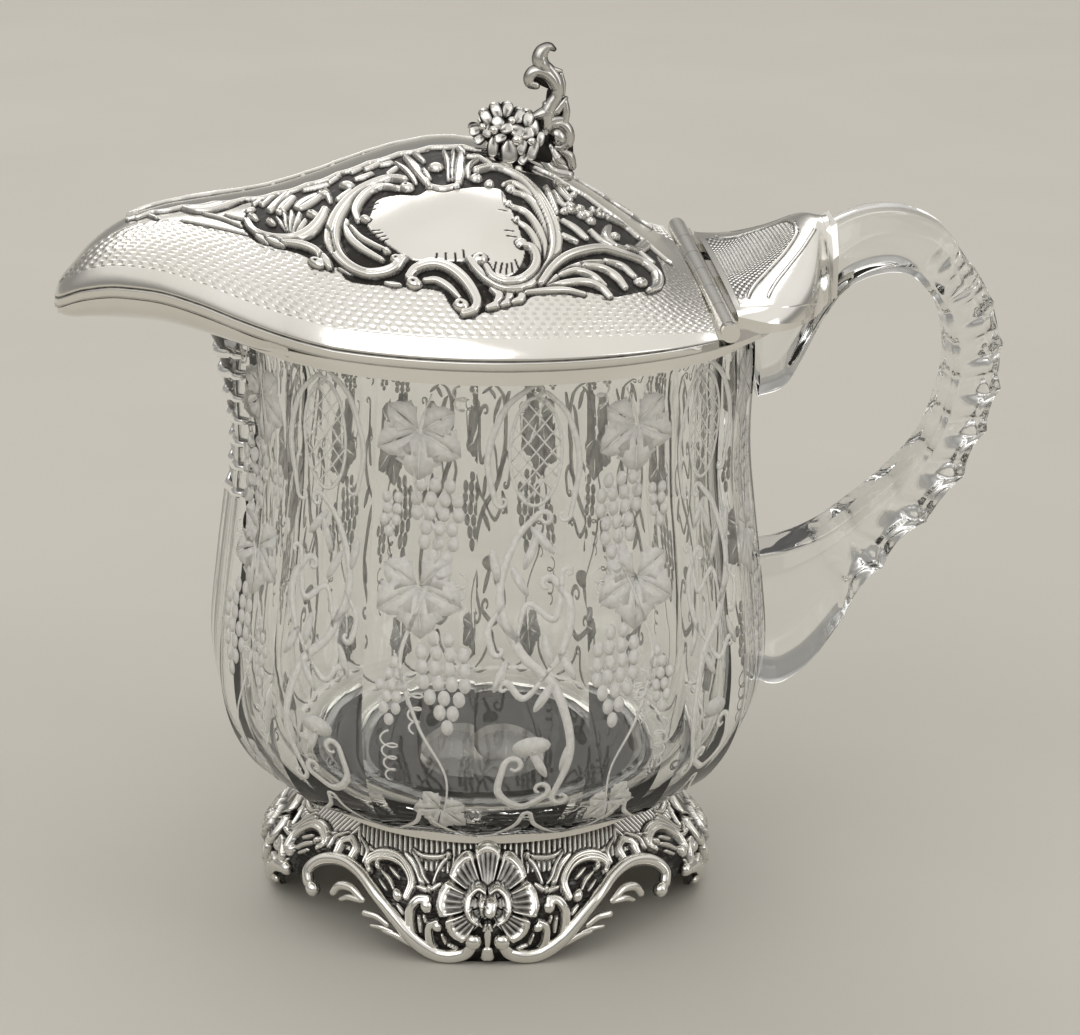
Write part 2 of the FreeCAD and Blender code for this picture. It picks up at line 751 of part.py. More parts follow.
collar = ring(
    "collar_band_turned",
    "sizes.mouth_radius + sizes.collar_bed",
    "sizes.mouth_radius + sizes.collar_bed + sizes.collar_wall",
    "sizes.mouth_height - sizes.collar_height + 1.4",
    "sizes.mouth_height + 1.6 - sizes.flange_thickness",
)
collar_fill = ring(
    "collar_plaster_turned",
    "sizes.mouth_radius + 0.02",
    "sizes.mouth_radius + sizes.collar_bed",
    "sizes.mouth_height - sizes.collar_height + 2.4",
    "sizes.mouth_height + 1.6 - sizes.flange_thickness",
)
flange = ring(
    "collar_flange_turned",
    "sizes.mouth_radius",
    "sizes.flange_radius",
    "sizes.mouth_height + 1.6 - sizes.flange_thickness",
    "sizes.mouth_height + 1.6",
)
passage = add("beak_passage", trough_inner.fuse(bar_envelope))
gap = add("beak_and_handle_gap", trough_outer.fuse(bar_envelope))


def trimmed(label, base, tool):
    cut = doc.addObject("Part::Cut", label)
    cut.Label = label
    cut.Base = base
    cut.Tool = tool
    return cut


collar_band = trimmed("collar_band", collar, passage)
collar_plaster = trimmed("collar_plaster", collar_fill, passage)
collar_flange = trimmed("collar_flange", flange, gap)

trough = trough_outer.cut([trough_inner, Part.makeCylinder(COLLAR_OUTER, FAR)])
spout_trough = add("spout_trough", single(trough))

plate_end = size("cuff_end") - 1.6
plate = plate_loft(0.0, PLATE_FRONT, plate_end)
plate_hollow = plate_loft(size("plate_wall"), PLATE_FRONT + size("plate_wall"), plate_end + 1.0)
rear_plate = add("rear_plate", single(plate.cut([plate_hollow, cuff_envelope])))

cuff_room = Part.makeBox(size("cuff_end") - size("flange_radius"), 60, 60,
                         Vector(size("flange_radius"), -30, SEAT_HEIGHT + 0.2))
cuff = cuff_envelope.cut([bar_envelope]).common(cuff_room)
handle_cuff = add("handle_cuff", single(cuff))

# Build the hinge


def cylinder(name, radius, length, start):
    """Round bar along Y on the hinge's axis."""
    bar_of = doc.addObject("Part::Cylinder", name)
    bar_of.setExpression("Radius", radius)
    bar_of.setExpression("Height", length)
    bar_of.Placement = Placement(Vector(0, 0, 0), Rotation(Vector(1, 0, 0), -90))
    bar_of.setExpression("Placement.Base.x", "sizes.hinge_distance")
    bar_of.setExpression("Placement.Base.y", start)
    bar_of.setExpression("Placement.Base.z", "sizes.mouth_height + 1.6 + sizes.lid_play + sizes.hinge_rise")
    return bar_of


BARREL = "(2 * (sizes.hinge_half_length - sizes.cap_length))"
KNUCKLES = [("lid_knuckle_near", -1), ("rear_knuckle_near", 1), ("lid_knuckle_middle", -1),
            ("rear_knuckle_middle", 1), ("lid_knuckle_far", -1), ("rear_knuckle_far", 1)]
knuckles = []
for i, (label, way) in enumerate(KNUCKLES):
    start = "sizes.cap_length - sizes.hinge_half_length + %s * %d / sizes.knuckle_count + " % (BARREL, i)
    start += "sizes.knuckle_gap / 2"
    length = "%s / sizes.knuckle_count - sizes.knuckle_gap" % BARREL
    round_part = cylinder(label + "_round", "sizes.knuckle_radius", length, start)
    bore = cylinder(label + "_bore", "sizes.pin_radius + sizes.pin_play", length, start)
    leaf = doc.addObject("Part::Box", label + "_leaf")
    leaf.setExpression("Length", "sizes.knuckle_radius + %s" % BARREL_CLEARANCE)
    leaf.setExpression("Width", length)
    leaf.setExpression("Height", "sizes.knuckle_radius * 0.9")
    edge = "sizes.hinge_distance"
    if way < 0:
        edge += " - sizes.knuckle_radius - %s" % BARREL_CLEARANCE
    leaf.setExpression("Placement.Base.x", edge)
    leaf.setExpression("Placement.Base.y", start)
    low_edge = "sizes.mouth_height + 1.6 + sizes.lid_play + sizes.hinge_rise - sizes.knuckle_radius * 0.9"
    leaf.setExpression("Placement.Base.z", low_edge)
    joined = doc.addObject("Part::Fuse", label + "_joined")
    joined.Base = round_part
    joined.Tool = leaf
    knuckles.append(trimmed(label, joined, bore))

hinge_pin = cylinder("hinge_pin", "sizes.pin_radius", BARREL, "sizes.cap_length - sizes.hinge_half_length")
hinge_pin.Label = "hinge_pin"
caps = [
    cylinder("pin_cap_near", "sizes.knuckle_radius * 0.9", "sizes.cap_length", "-sizes.hinge_half_length"),
    cylinder("pin_cap_far", "sizes.knuckle_radius * 0.9", "sizes.cap_length",
             "sizes.hinge_half_length - sizes.cap_length"),
]
caps[0].Label = "pin_cap_near"
caps[1].Label = "pin_cap_far"

# Build the lid

lid_outer = lid_outside()
lid_shell = add("lid_shell", single(lid_outer.fuse(lid_relief()).cut([lid_hollow()])))

base = Vector(size("finial_distance"), 0, crown(size("finial_distance")))
rise = size("finial_height")


def finial_point(back, up, side=0.0):
    """Point of the finial, in shares of its height from the middle of its seat."""
    return base + Vector(back * rise, side * rise, up * rise)


STEM = [(0.30, -0.06), (0.19, 0.05), (0.02, 0.10), (-0.11, 0.24), (-0.08, 0.42), (0.06, 0.50),
        (0.16, 0.42), (0.14, 0.30)]
HOOK = [(0.06, 0.46), (0.09, 0.62), (0.04, 0.75), (-0.10, 0.80), (-0.22, 0.88), (-0.20, 1.01),
        (-0.09, 1.04)]
TIP = [(-0.16, 1.0), (-0.18, 1.10), (-0.08, 1.235)]
scroll = tube([finial_point(*pair) for pair in STEM], size("stem_radius"))
scroll = scroll.fuse(tube([finial_point(*pair) for pair in HOOK], size("stem_radius") * 0.72))
scroll = scroll.fuse(tube([finial_point(*pair) for pair in TIP], size("stem_radius") * 0.55))
finial_scroll = add("finial_scroll", single(scroll.cut([lid_outer])))

FLOWERS = [(-0.66, 0.35, 0.0, 0.145), (-0.50, 0.32, -0.16, 0.155), (-0.50, 0.32, 0.16, 0.155),
           (-0.38, 0.43, 0.0, 0.17), (-0.28, 0.22, -0.21, 0.18), (-0.28, 0.22, 0.21, 0.18),
           (-0.12, 0.36, -0.12, 0.16), (-0.12, 0.36, 0.12, 0.16), (-0.30, 0.12, 0.0, 0.24)]
spray = Part.makeSphere(0.2 * rise, finial_point(-0.12, 0.14))
for back, up, side, share in FLOWERS:
    spray = spray.fuse(Part.makeSphere(share * rise, finial_point(back, up, side)))
finial_spray = add("finial_spray", single(spray.cut([lid_outer, scroll])))

doc.recompute()

# Check and write every sub-part

parts = [foot_skirt, foot_band, foot_seat, foot_plaster] + foot_trim
parts += [glass_body, glass_handle, collar_band, collar_plaster, collar_flange, spout_trough]
parts += [rear_plate, handle_cuff, hinge_pin] + caps + knuckles
parts += [lid_shell, finial_scroll, finial_spray]

for item in doc.Objects:
    if "Invalid" in item.State or "Error" in item.State:
        raise RuntimeError("failed: " + item.Label)
os.makedirs("parts", exist_ok=True)
for part in parts:
    shape = part.Shape
    if shape.isNull() or not shape.isValid() or not shape.Solids:
        raise RuntimeError("bad shape: " + part.Label)
    shape.exportStep(os.path.join("parts", part.Label + ".step"))
    box = shape.optimalBoundingBox()
    print("%-20s solids %d volume %9.1f  x %7.1f %7.1f  y %6.1f %6.1f  z %6.1f %6.1f" % (
        part.Label, len(shape.Solids), shape.Volume, box.XMin, box.XMax, box.YMin, box.YMax,
        box.ZMin, box.ZMax))
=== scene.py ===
import math

import bpy
import numpy as np
from mathutils import Matrix, Vector
from mathutils.bvhtree import BVHTree


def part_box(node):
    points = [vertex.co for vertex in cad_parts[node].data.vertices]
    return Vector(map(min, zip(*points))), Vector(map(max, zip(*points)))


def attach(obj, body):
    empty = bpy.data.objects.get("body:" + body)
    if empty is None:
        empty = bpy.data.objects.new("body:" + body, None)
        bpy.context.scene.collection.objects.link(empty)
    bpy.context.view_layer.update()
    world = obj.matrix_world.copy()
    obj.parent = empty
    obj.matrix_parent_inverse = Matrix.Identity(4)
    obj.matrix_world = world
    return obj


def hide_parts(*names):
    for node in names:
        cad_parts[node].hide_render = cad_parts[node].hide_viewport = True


# Looks of a lidded glass jug in a silver mount. Shapes are worked out in millimetres in the frame's axes:
# +Z up, +X to the handle, -X to the beak, and -Y to the camera.

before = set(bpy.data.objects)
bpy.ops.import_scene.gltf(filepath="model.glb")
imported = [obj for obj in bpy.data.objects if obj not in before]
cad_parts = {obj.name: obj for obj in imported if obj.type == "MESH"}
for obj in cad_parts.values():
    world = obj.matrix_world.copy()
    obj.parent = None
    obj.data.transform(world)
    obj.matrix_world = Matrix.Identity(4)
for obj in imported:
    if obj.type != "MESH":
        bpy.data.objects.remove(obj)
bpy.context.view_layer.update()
MM = 0.001


def node_box(name):
    """Lowest and highest corner of a node of the frame, in millimetres."""
    low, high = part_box(name)
    return np.array(low) / MM, np.array(high) / MM


# Camera of the photograph: an orbit about a point inside the jug

PHOTO_WIDTH, PHOTO_HEIGHT = 1080, 1035
FOCAL_PIXELS = 3588.9
SENSOR_WIDTH = 36.0
ORBIT_DISTANCE = 961.0
ORBIT_TURN = math.radians(5.0)
ORBIT_TILT = math.radians(18.2)
ORBIT_ROLL = math.radians(0.86)
TARGET = np.array([13.7, -1.2, 104.0])


def camera_axes():
    """Right, up and backward directions of the camera."""
    back = np.array([0.0, -math.cos(ORBIT_TILT), math.sin(ORBIT_TILT)])
    flat_right = np.array([1.0, 0.0, 0.0])
    flat_up = np.cross(back, flat_right)
    right = math.cos(ORBIT_ROLL) * flat_right + math.sin(ORBIT_ROLL) * flat_up
    up = math.cos(ORBIT_ROLL) * flat_up - math.sin(ORBIT_ROLL) * flat_right
    cosine, sine = math.cos(ORBIT_TURN), math.sin(ORBIT_TURN)
    turn = np.array([[cosine, sine, 0.0], [-sine, cosine, 0.0], [0.0, 0.0, 1.0]])
    return turn @ right, turn @ up, turn @ back


RIGHT, UP, BACK = camera_axes()
EYE = TARGET + BACK * ORBIT_DISTANCE


def pixel_ray(pixel):
    """Direction of the ray through a pixel of the photograph."""
    across = (pixel[0] - PHOTO_WIDTH / 2) / FOCAL_PIXELS
    down = (pixel[1] - PHOTO_HEIGHT / 2) / FOCAL_PIXELS
    return across * RIGHT - down * UP - BACK


def add_camera():
    data = bpy.data.cameras.new("camera")
    data.sensor_fit = "HORIZONTAL"
    data.sensor_width = SENSOR_WIDTH
    data.lens = FOCAL_PIXELS / PHOTO_WIDTH * SENSOR_WIDTH
    data.clip_start = 0.05
    data.clip_end = 20.0
    camera = bpy.data.objects.new("camera", data)
    bpy.context.scene.collection.objects.link(camera)
    matrix = Matrix.Identity(4)
    for row in range(3):
        matrix[row][0], matrix[row][1], matrix[row][2] = RIGHT[row], UP[row], BACK[row]
        matrix[row][3] = EYE[row] * MM
    camera.matrix_world = matrix
    bpy.context.scene.camera = camera


# Materials

def new_material(name):
    material = bpy.data.materials.new(name)
    material.use_nodes = True
    material.node_tree.nodes.clear()
    return material


class Tree:
    """Short way to add and join shader nodes."""

    def __init__(self, material):
        self.nodes = material.node_tree.nodes
        self.links = material.node_tree.links

    def add(self, kind, **settings):
        node = self.nodes.new("ShaderNode" + kind)
        for name, value in settings.items():
            setattr(node, name, value)
        return node

    def feed(self, node, socket, value):
        """Sets a socket to a constant or joins it to another node's output."""
        if isinstance(value, bpy.types.NodeSocket):
            self.links.new(value, node.inputs[socket])
        else:
            node.inputs[socket].default_value = value

    def noise(self, scale, detail=3.0, stretch=(1.0, 1.0, 1.0)):
        place = self.add("TexCoord")
        mapping = self.add("Mapping")
        self.feed(mapping, "Vector", place.outputs["Object"])
        self.feed(mapping, "Scale", stretch)
        noise = self.add("TexNoise")
        self.feed(noise, "Vector", mapping.outputs["Vector"])
        self.feed(noise, "Scale", scale)
        self.feed(noise, "Detail", detail)
        return noise.outputs["Fac"]

    def ramp(self, value, stops):
        ramp = self.add("ValToRGB")
        self.feed(ramp, "Fac", value)
        elements = ramp.color_ramp.elements
        while len(elements) < len(stops):
            elements.new(0.5)
        for element, (position, level) in zip(elements, stops):
            colour = level if isinstance(level, tuple) else (level, level, level)
            element.position = position
            element.color = colour + (1.0,)
        return ramp.outputs["Color"]

    def mix(self, share, first, second):
        node = self.add("Mix", data_type="RGBA")
        self.feed(node, "Factor", share)
        for socket, value in ((6, first), (7, second)):
            if isinstance(value, tuple):
                node.inputs[socket].default_value = value + (1.0,)
            else:
                self.links.new(value, node.inputs[socket])
        return node.outputs[2]

    def math(self, operation, first, second=0.0, clamp=False):
        node = self.add("Math", operation=operation, use_clamp=clamp)
        self.feed(node, 0, first)
        self.feed(node, 1, second)
        return node.outputs["Value"]

    def bump(self, height, strength, distance):
        node = self.add("Bump")
        self.feed(node, "Strength", strength)
        self.feed(node, "Distance", distance)
        self.feed(node, "Height", height)
        return node.outputs["Normal"]

    def finish(self, shader):
        output = self.add("OutputMaterial")
        self.links.new(shader, output.inputs["Surface"])


SILVER = (0.86, 0.845, 0.81)
# Near black that the dark layer mixes in: oxide in the chased hollows, and painted shade where the meshes put it
OXIDE_AND_SHADE = (0.035, 0.032, 0.030)
DARK_LAYER = "dark"


def silver_material(name, dark_layered, roughness=0.10):
    """Polished silver with hairlines; a dark-layered kind darkens where its mesh's dark layer says so, with oxide in
    its chased hollows and painted shade in gaps, under borders and on sides turned from the eye.
    """
    material = new_material(name)
    tree = Tree(material)
    cloud = tree.noise(35.0, 4.0)
    hairline = tree.noise(900.0, 2.0, (1.0, 0.06, 1.0))
    shader = tree.add("BsdfPrincipled")
    tree.feed(shader, "Metallic", 1.0)
    warm = tree.ramp(cloud, [(0.35, SILVER), (0.70, (0.80, 0.78, 0.73))])
    rough = tree.math("MULTIPLY_ADD", cloud, 0.10)
    rough.node.inputs[2].default_value = roughness
    if dark_layered:
        layer = tree.add("Attribute", attribute_name=DARK_LAYER)
        patchy = tree.math("MULTIPLY_ADD", tree.noise(420.0, 3.0), 0.5)
        patchy.node.inputs[2].default_value = -0.25
        dark = tree.math("ADD", layer.outputs["Fac"], tree.math("MULTIPLY", patchy, layer.outputs["Fac"]))
        share = tree.ramp(dark, [(0.10, 0.0), (0.85, 1.0)])
        warm = tree.mix(share, warm, OXIDE_AND_SHADE)
        rough = tree.math("ADD", rough, tree.math("MULTIPLY", share, 0.35))
    tree.feed(shader, "Base Color", warm)
    tree.feed(shader, "Roughness", rough)
    tree.feed(shader, "Normal", tree.bump(hairline, 0.05, 0.0002))
    tree.finish(shader.outputs["BSDF"])
    return material


def glass_material(name, scale):
    """Clear lead glass with faint waviness and a few seeds of roughness."""
    material = new_material(name)
    tree = Tree(material)
    wave = tree.noise(scale, 2.0)
    shader = tree.add("BsdfPrincipled")
    tree.feed(shader, "Transmission Weight", 1.0)
    tree.feed(shader, "IOR", 1.52)
    tree.feed(shader, "Base Color", tree.ramp(wave, [(0.3, (0.975, 0.98, 0.97)), (0.7, (0.985, 0.985, 0.98))]))
    tree.feed(shader, "Roughness", tree.ramp(tree.noise(140.0, 2.0), [(0.4, 0.0), (0.9, 0.04)]))
    tree.feed(shader, "Normal", tree.bump(wave, 0.12, 0.001))
    tree.finish(shader.outputs["BSDF"])
    return material


def plaster_material():
    material = new_material("plaster")
    tree = Tree(material)
    grain = tree.noise(600.0, 5.0)
    shader = tree.add("BsdfPrincipled")
    tree.feed(shader, "Base Color", tree.ramp(grain, [(0.3, (0.62, 0.60, 0.56)), (0.7, (0.74, 0.72, 0.68))]))
    tree.feed(shader, "Roughness", 0.85)
    tree.feed(shader, "Normal", tree.bump(grain, 0.4, 0.0003))
    tree.finish(shader.outputs["BSDF"])
    return material


def stage_material(name, colour, spread):
    """Pale matt ground with a faint mottle."""
    material = new_material(name)
    tree = Tree(material)
    mottle = tree.noise(8.0, 3.0)
    shader = tree.add("BsdfPrincipled")
    lighter = tuple(min(1.0, part + spread) for part in colour)
    tree.feed(shader, "Base Color", tree.ramp(mottle, [(0.3, colour), (0.7, lighter)]))
    tree.feed(shader, "Roughness", 0.7)
    tree.finish(shader.outputs["BSDF"])
    return material


PLAIN_SILVER = silver_material("silver_polished", False)
MATT_SILVER = silver_material("silver_matt", False, 0.30)
CHASED_SILVER = silver_material("silver_chased", True)
CLEAR_GLASS = glass_material("glass_clear", 25.0)
HANDLE_GLASS = glass_material("glass_handle", 60.0)
PLASTER = plaster_material()


# Curves and outlines

def follow(points, at):
    """Smooth value along an outline through the points, without overshoot."""
    x, y = np.array(points, float).T
    steps = np.diff(x)
    slopes = np.diff(y) / steps
    tangents = np.concatenate([slopes[:1], np.zeros(len(x) - 2), slopes[-1:]])
    for i in range(1, len(x) - 1):
        if slopes[i - 1] * slopes[i] > 0:
            first = 2 * steps[i] + steps[i - 1]
            second = steps[i] + 2 * steps[i - 1]
            tangents[i] = (first + second) / (first / slopes[i - 1] + second / slopes[i])
    at = np.clip(np.asarray(at, float), x[0], x[-1])
    k = np.clip(np.searchsorted(x, at, side="right") - 1, 0, len(steps) - 1)
    u = (at - x[k]) / steps[k]
    value = (2 * u ** 3 - 3 * u ** 2 + 1) * y[k] + (u ** 3 - 2 * u ** 2 + u) * steps[k] * tangents[k]
    return value + (3 * u ** 2 - 2 * u ** 3) * y[k + 1] + (u ** 3 - u ** 2) * steps[k] * tangents[k + 1]


def smooth_path(points, step=0.5):
    """Curve through the points, at nearly even steps."""
    points = np.array(points, float)
    if len(points) < 3:
        count = max(2, int(np.linalg.norm(points[-1] - points[0]) / step) + 1)
        return points[0] + np.linspace(0, 1, count)[:, None] * (points[-1] - points[0])
    padded = np.concatenate([2 * points[:1] - points[1:2], points, 2 * points[-1:] - points[-2:-1]])
    runs = []
    for i in range(1, len(padded) - 2):
        before, here, there, after = padded[i - 1:i + 3]
        count = max(2, int(np.linalg.norm(there - here) / step))
        u = np.linspace(0, 1, count, endpoint=False)[:, None]
        runs.append(0.5 * (2 * here + (there - before) * u + (2 * before - 5 * here + 4 * there - after) * u ** 2
                           + (3 * here - before - 3 * there + after) * u ** 3))
    runs.append(points[-1:])
    return np.concatenate(runs)


def curl(path, radius, turns, side):
    """Path with a volute wound on at its end; side 1 winds to the left, -1 to the right."""
    run = path[-1] - path[-2]
    run = run / np.linalg.norm(run)
    inward = side * np.array([-run[1], run[0]])
    centre = path[-1] + inward * radius
    count = max(6, int(turns * 2 * math.pi * radius / 0.5))
    angle = np.linspace(0, turns * 2 * math.pi, count + 1)[1:]
    reach = radius * (1 - 0.68 * (angle / angle[-1]) ** 0.8)
    spiral = centre + reach[:, None] * (-inward * np.cos(angle)[:, None] + run * np.sin(angle)[:, None])
    return np.concatenate([path, spiral])


def scroll_path(points, end=None, start=None):
    """Smooth path with a volute at either end; each volute is (radius, turns, side)."""
    path = smooth_path(points)
    if end:
        path = curl(path, *end)
    if start:
        path = curl(path[::-1], *start)[::-1]
    return path


def swell(count, width, first=0.45, last=0.55, peak=0.5):
    """Widths along a stroke that swell to the full width between its thinner ends."""
    u = np.linspace(0, 1, count)
    rise = np.where(u < peak, u / peak, (1 - u) / (1 - peak))
    low = np.where(u < peak, first, last)
    return width * (low + (1 - low) * np.sin(rise * math.pi / 2))


class Relief:
    """Height and darkness over a smooth sheet, at the sheet's own grid points, in millimetres; the darkness is oxide
    in chased hollows and painted shade where a caller puts it.
    """

    def __init__(self, across, along):
        self.shape = across.shape
        self.points = np.stack([across.ravel(), along.ravel()], 1)
        self.height = np.zeros(across.size)
        self.dark = np.zeros(across.size)

    def near(self, path, reach):
        low, high = path.min(0) - reach, path.max(0) + reach
        return np.flatnonzero(np.all((self.points > low) & (self.points < high), axis=1))

    def measure(self, path, widths, reach):
        """Points near a path, with their distance in half widths and the distance past its edge."""
        chosen = self.near(path, widths.max() + reach)
        ratio = np.full(len(chosen), np.inf)
        beyond = np.full(len(chosen), np.inf)
        here = self.points[chosen]
        for i in range(len(path) - 1):
            run = path[i + 1] - path[i]
            share = np.clip((here - path[i]) @ run / max(run @ run, 1e-9), 0, 1)
            distance = np.linalg.norm(here - path[i] - share[:, None] * run, axis=1)
            half = widths[i] + share * (widths[i + 1] - widths[i])
            closer = distance / half < ratio
            ratio[closer] = (distance / half)[closer]
            beyond[closer] = (distance - half)[closer]
        return chosen, ratio, beyond

    def stroke(self, path, widths, height, moat=0.55, channel=0.0, lift=0.0):
        """Raised round stroke with a dark moat about it and an optional channel down its middle."""
        if np.isscalar(widths):
            widths = np.full(len(path), float(widths))
        chosen, ratio, beyond = self.measure(path, widths, moat)
        inside = ratio < 1
        body, q = chosen[inside], ratio[inside]
        rise = np.sqrt(1 - q * q) - channel * np.exp(-(q / 0.32) ** 2)
        self.height[body] = np.maximum(self.height[body] * 0.5, lift + height * rise)
        self.dark[body] = 0.75 * q ** 7 + 0.5 * channel * np.exp(-(q / 0.25) ** 2)
        around = (~inside) & (beyond < moat)
        ditch, depth = chosen[around], 1 - beyond[around] / moat
        self.height[ditch] = self.height[ditch] * (1 - 0.8 * depth) - 0.25 * height * depth
        self.dark[ditch] = np.maximum(self.dark[ditch], depth ** 0.7)

    def bead(self, centre, radius, height, lift=0.0):
        centre = np.array(centre, float)
        path = np.stack([centre - 0.01, centre + 0.01])
        self.stroke(path, radius, height, lift=lift)

    def knob(self, centre, radius, height, eye):
        """Round scroll end, with a dark drilled eye where it has one."""
        path = np.stack([centre - 0.01, centre + 0.01])
        chosen, ratio, beyond = self.measure(path, np.full(2, radius), 0.6)
        inside = ratio < 1
        body, q = chosen[inside], ratio[inside]
        rise = height * np.sqrt(1 - q * q)
        self.dark[body] = np.where(rise > self.height[body], 0.5 * q ** 8, self.dark[body])
        self.height[body] = np.maximum(self.height[body], rise)
        around = chosen[(~inside) & (beyond < 0.35) & (self.height[chosen] < 0.4 * height)]
        self.dark[around] = np.maximum(self.dark[around], 0.9)
        if eye:
            self.cut(path, max(0.38, radius * 0.26), 0.5)

    def cut(self, path, width, depth):
        """Narrow dark cut into whatever is there."""
        chosen, ratio, beyond = self.measure(path, np.full(len(path), width), 0.0)
        inside = ratio < 1
        body, q = chosen[inside], ratio[inside]
        self.height[body] -= depth * (1 - q * q)
        self.dark[body] = np.maximum(self.dark[body], 1 - 0.5 * q * q)

    def inside(self, outline):
        """Points inside a closed outline."""
        chosen = self.near(outline, 0.0)
        x, y = self.points[chosen].T
        odd = np.zeros(len(chosen), bool)
        for (x0, y0), (x1, y1) in zip(outline, np.roll(outline, -1, axis=0)):
            if y0 == y1:
                continue
            crosses = ((y0 > y) != (y1 > y)) & (x < (x1 - x0) * (y - y0) / (y1 - y0) + x0)
            odd ^= crosses
        return chosen[odd]

    def field(self, outline, height, dark):
        chosen = self.inside(np.array(outline))
        self.height[chosen] = height
        self.dark[chosen] = dark
        return chosen

    def leaf(self, points, width, height, lobes=5, lift=0.0):
        """Acanthus leaf: lobes curl off both sides of a midrib."""
        rib = smooth_path(points)
        for k in range(lobes):
            share = 0.12 + 0.75 * k / max(1, lobes - 1)
            i = int(share * (len(rib) - 2))
            run = rib[i + 1] - rib[i]
            run = run / np.linalg.norm(run)
            reach = width * (1.15 - 0.75 * abs(share - 0.35))
            for side in (-1, 1):
                out = side * np.array([-run[1], run[0]])
                tip = rib[i] + run * reach * 0.9 + out * reach
                bend = rib[i] + run * reach * 0.25 + out * reach * 0.75
                path = smooth_path([rib[i] - run * reach * 0.3, bend, tip])
                self.stroke(path, swell(len(path), width * 0.34, 0.5, 0.35), height * 0.75, lift=lift)
        self.stroke(rib, swell(len(rib), width * 0.3, 0.8, 0.3, 0.2), height, lift=lift)

    def flower(self, centre, radius, height, petals=5, turn=0.0):
        """Open flower: heart-shaped petals about a bead."""
        centre = np.array(centre, float)
        for k in range(petals):
            angle = turn + 2 * math.pi * k / petals
            out = np.array([math.cos(angle), math.sin(angle)])
            path = smooth_path([centre + out * radius * 0.3, centre + out * radius * 0.78])
            self.stroke(path, np.linspace(0.2, 0.42, len(path)) * radius, height * 0.8, moat=0.4, channel=0.3)
        self.bead(centre, radius * 0.3, height * 1.1)

    def grids(self):
        return self.height.reshape(self.shape), self.dark.reshape(self.shape)


# Meshes

def make_object(name, points, faces, material, body, dark=None):
    """Object from points in millimetres that rides on a body."""
    mesh = bpy.data.meshes.new(name)
    mesh.from_pydata((np.asarray(points) * MM).tolist(), [], faces)
    mesh.validate()
    mesh.shade_smooth()
    if dark is not None:
        layer = mesh.attributes.new(DARK_LAYER, "FLOAT", "POINT")
        layer.data.foreach_set("value", np.asarray(dark, np.float32))
    mesh.materials.append(material)
    piece = bpy.data.objects.new(name, mesh)
    bpy.context.scene.collection.objects.link(piece)
    if body:
        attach(piece, body)
    return piece


def grid_faces(rows, columns, start=0, flip=False, closed=False):
    """Four-sided faces of a grid of points; a closed grid joins its last column to the first."""
    faces = []
    last = columns if closed else columns - 1
    for i in range(rows - 1):
        for j in range(last):
            k = (j + 1) % columns
            face = (start + i * columns + j, start + i * columns + k,
                    start + (i + 1) * columns + k, start + (i + 1) * columns + j)
            faces.append(face[::-1] if flip else face)
    return faces


def join_loops(dense, sparse, step, flip=False):
    """Strip between a closed loop and one with every step-th point of it."""
    faces = []
    count = len(dense)
    for j in range(len(sparse)):
        here, there = sparse[j], sparse[(j + 1) % len(sparse)]
        middle = step // 2
        for k in range(step):
            first, second = dense[(j * step + k) % count], dense[(j * step + k + 1) % count]
            faces.append((first, second, here if k < middle else there))
        faces.append((dense[(j * step + middle) % count], there, here))
    return [face[::-1] for face in faces] if flip else faces


def border_loop(rows, columns, start=0):
    """Points round the edge of a grid, in order."""
    loop = [start + j for j in range(columns - 1)]
    loop += [start + i * columns + columns - 1 for i in range(rows - 1)]
    loop += [start + (rows - 1) * columns + j for j in range(columns - 1, 0, -1)]
    loop += [start + i * columns for i in range(rows - 1, 0, -1)]
    return loop


def normals_of(points, closed=False):
    """Unit normals of a grid of points."""
    down = np.gradient(points, axis=0)
    if closed:
        along = (np.roll(points, -1, axis=1) - np.roll(points, 1, axis=1)) / 2
    else:
        along = np.gradient(points, axis=1)
    normal = np.cross(down, along)
    return normal / np.maximum(np.linalg.norm(normal, axis=2, keepdims=True), 1e-9)


def tube_points(path, radii, sides=10):
    """Rings of points about a path in space, with one frame carried along it."""
    path = np.array(path, float)
    run = np.gradient(path, axis=0)
    run /= np.maximum(np.linalg.norm(run, axis=1, keepdims=True), 1e-9)
    guide = np.array([0.0, 0.0, 1.0]) if abs(run[0][2]) < 0.9 else np.array([1.0, 0.0, 0.0])
    angle = np.linspace(0, 2 * math.pi, sides, endpoint=False)
    rings = []
    for i in range(len(path)):
        guide = guide - run[i] * (guide @ run[i])
        guide /= np.linalg.norm(guide)
        other = np.cross(run[i], guide)
        rings.append(path[i] + radii[i] * (np.cos(angle)[:, None] * guide + np.sin(angle)[:, None] * other))
    return np.array(rings)


def tube_mesh(path, radii, sides=10):
    """Points and faces of a closed tube with round ends."""
    path = np.array(path, float)
    radii = np.array(radii, float)
    first = path[0] - path[1]
    last = path[-1] - path[-2]
    first *= radii[0] / max(np.linalg.norm(first), 1e-9)
    last *= radii[-1] / max(np.linalg.norm(last), 1e-9)
    path = np.concatenate([[path[0] + first * 0.85], [path[0] + first * 0.5], path,
                           [path[-1] + last * 0.5], [path[-1] + last * 0.85]])
    radii = np.concatenate([[radii[0] * 0.5, radii[0] * 0.86], radii, [radii[-1] * 0.86, radii[-1] * 0.5]])
    rings = tube_points(path, radii, sides)
    points = rings.reshape(-1, 3)
    faces = grid_faces(len(path), sides, closed=True, flip=True)
    top = (len(path) - 1) * sides
    faces.append(tuple(range(sides)))
    faces.append(tuple(top + k for k in range(sides - 1, -1, -1)))
    return points, faces


def gather(parts):
    """One list of points and one of faces from several closed meshes."""
    points, faces, count = [], [], 0
    for some, their in parts:
        points.append(np.asarray(some, float))
        faces += [tuple(count + k for k in face) for face in their]
        count += len(some)
    return np.concatenate(points), faces


# Lid: the smooth surface that its chased ornament lies on

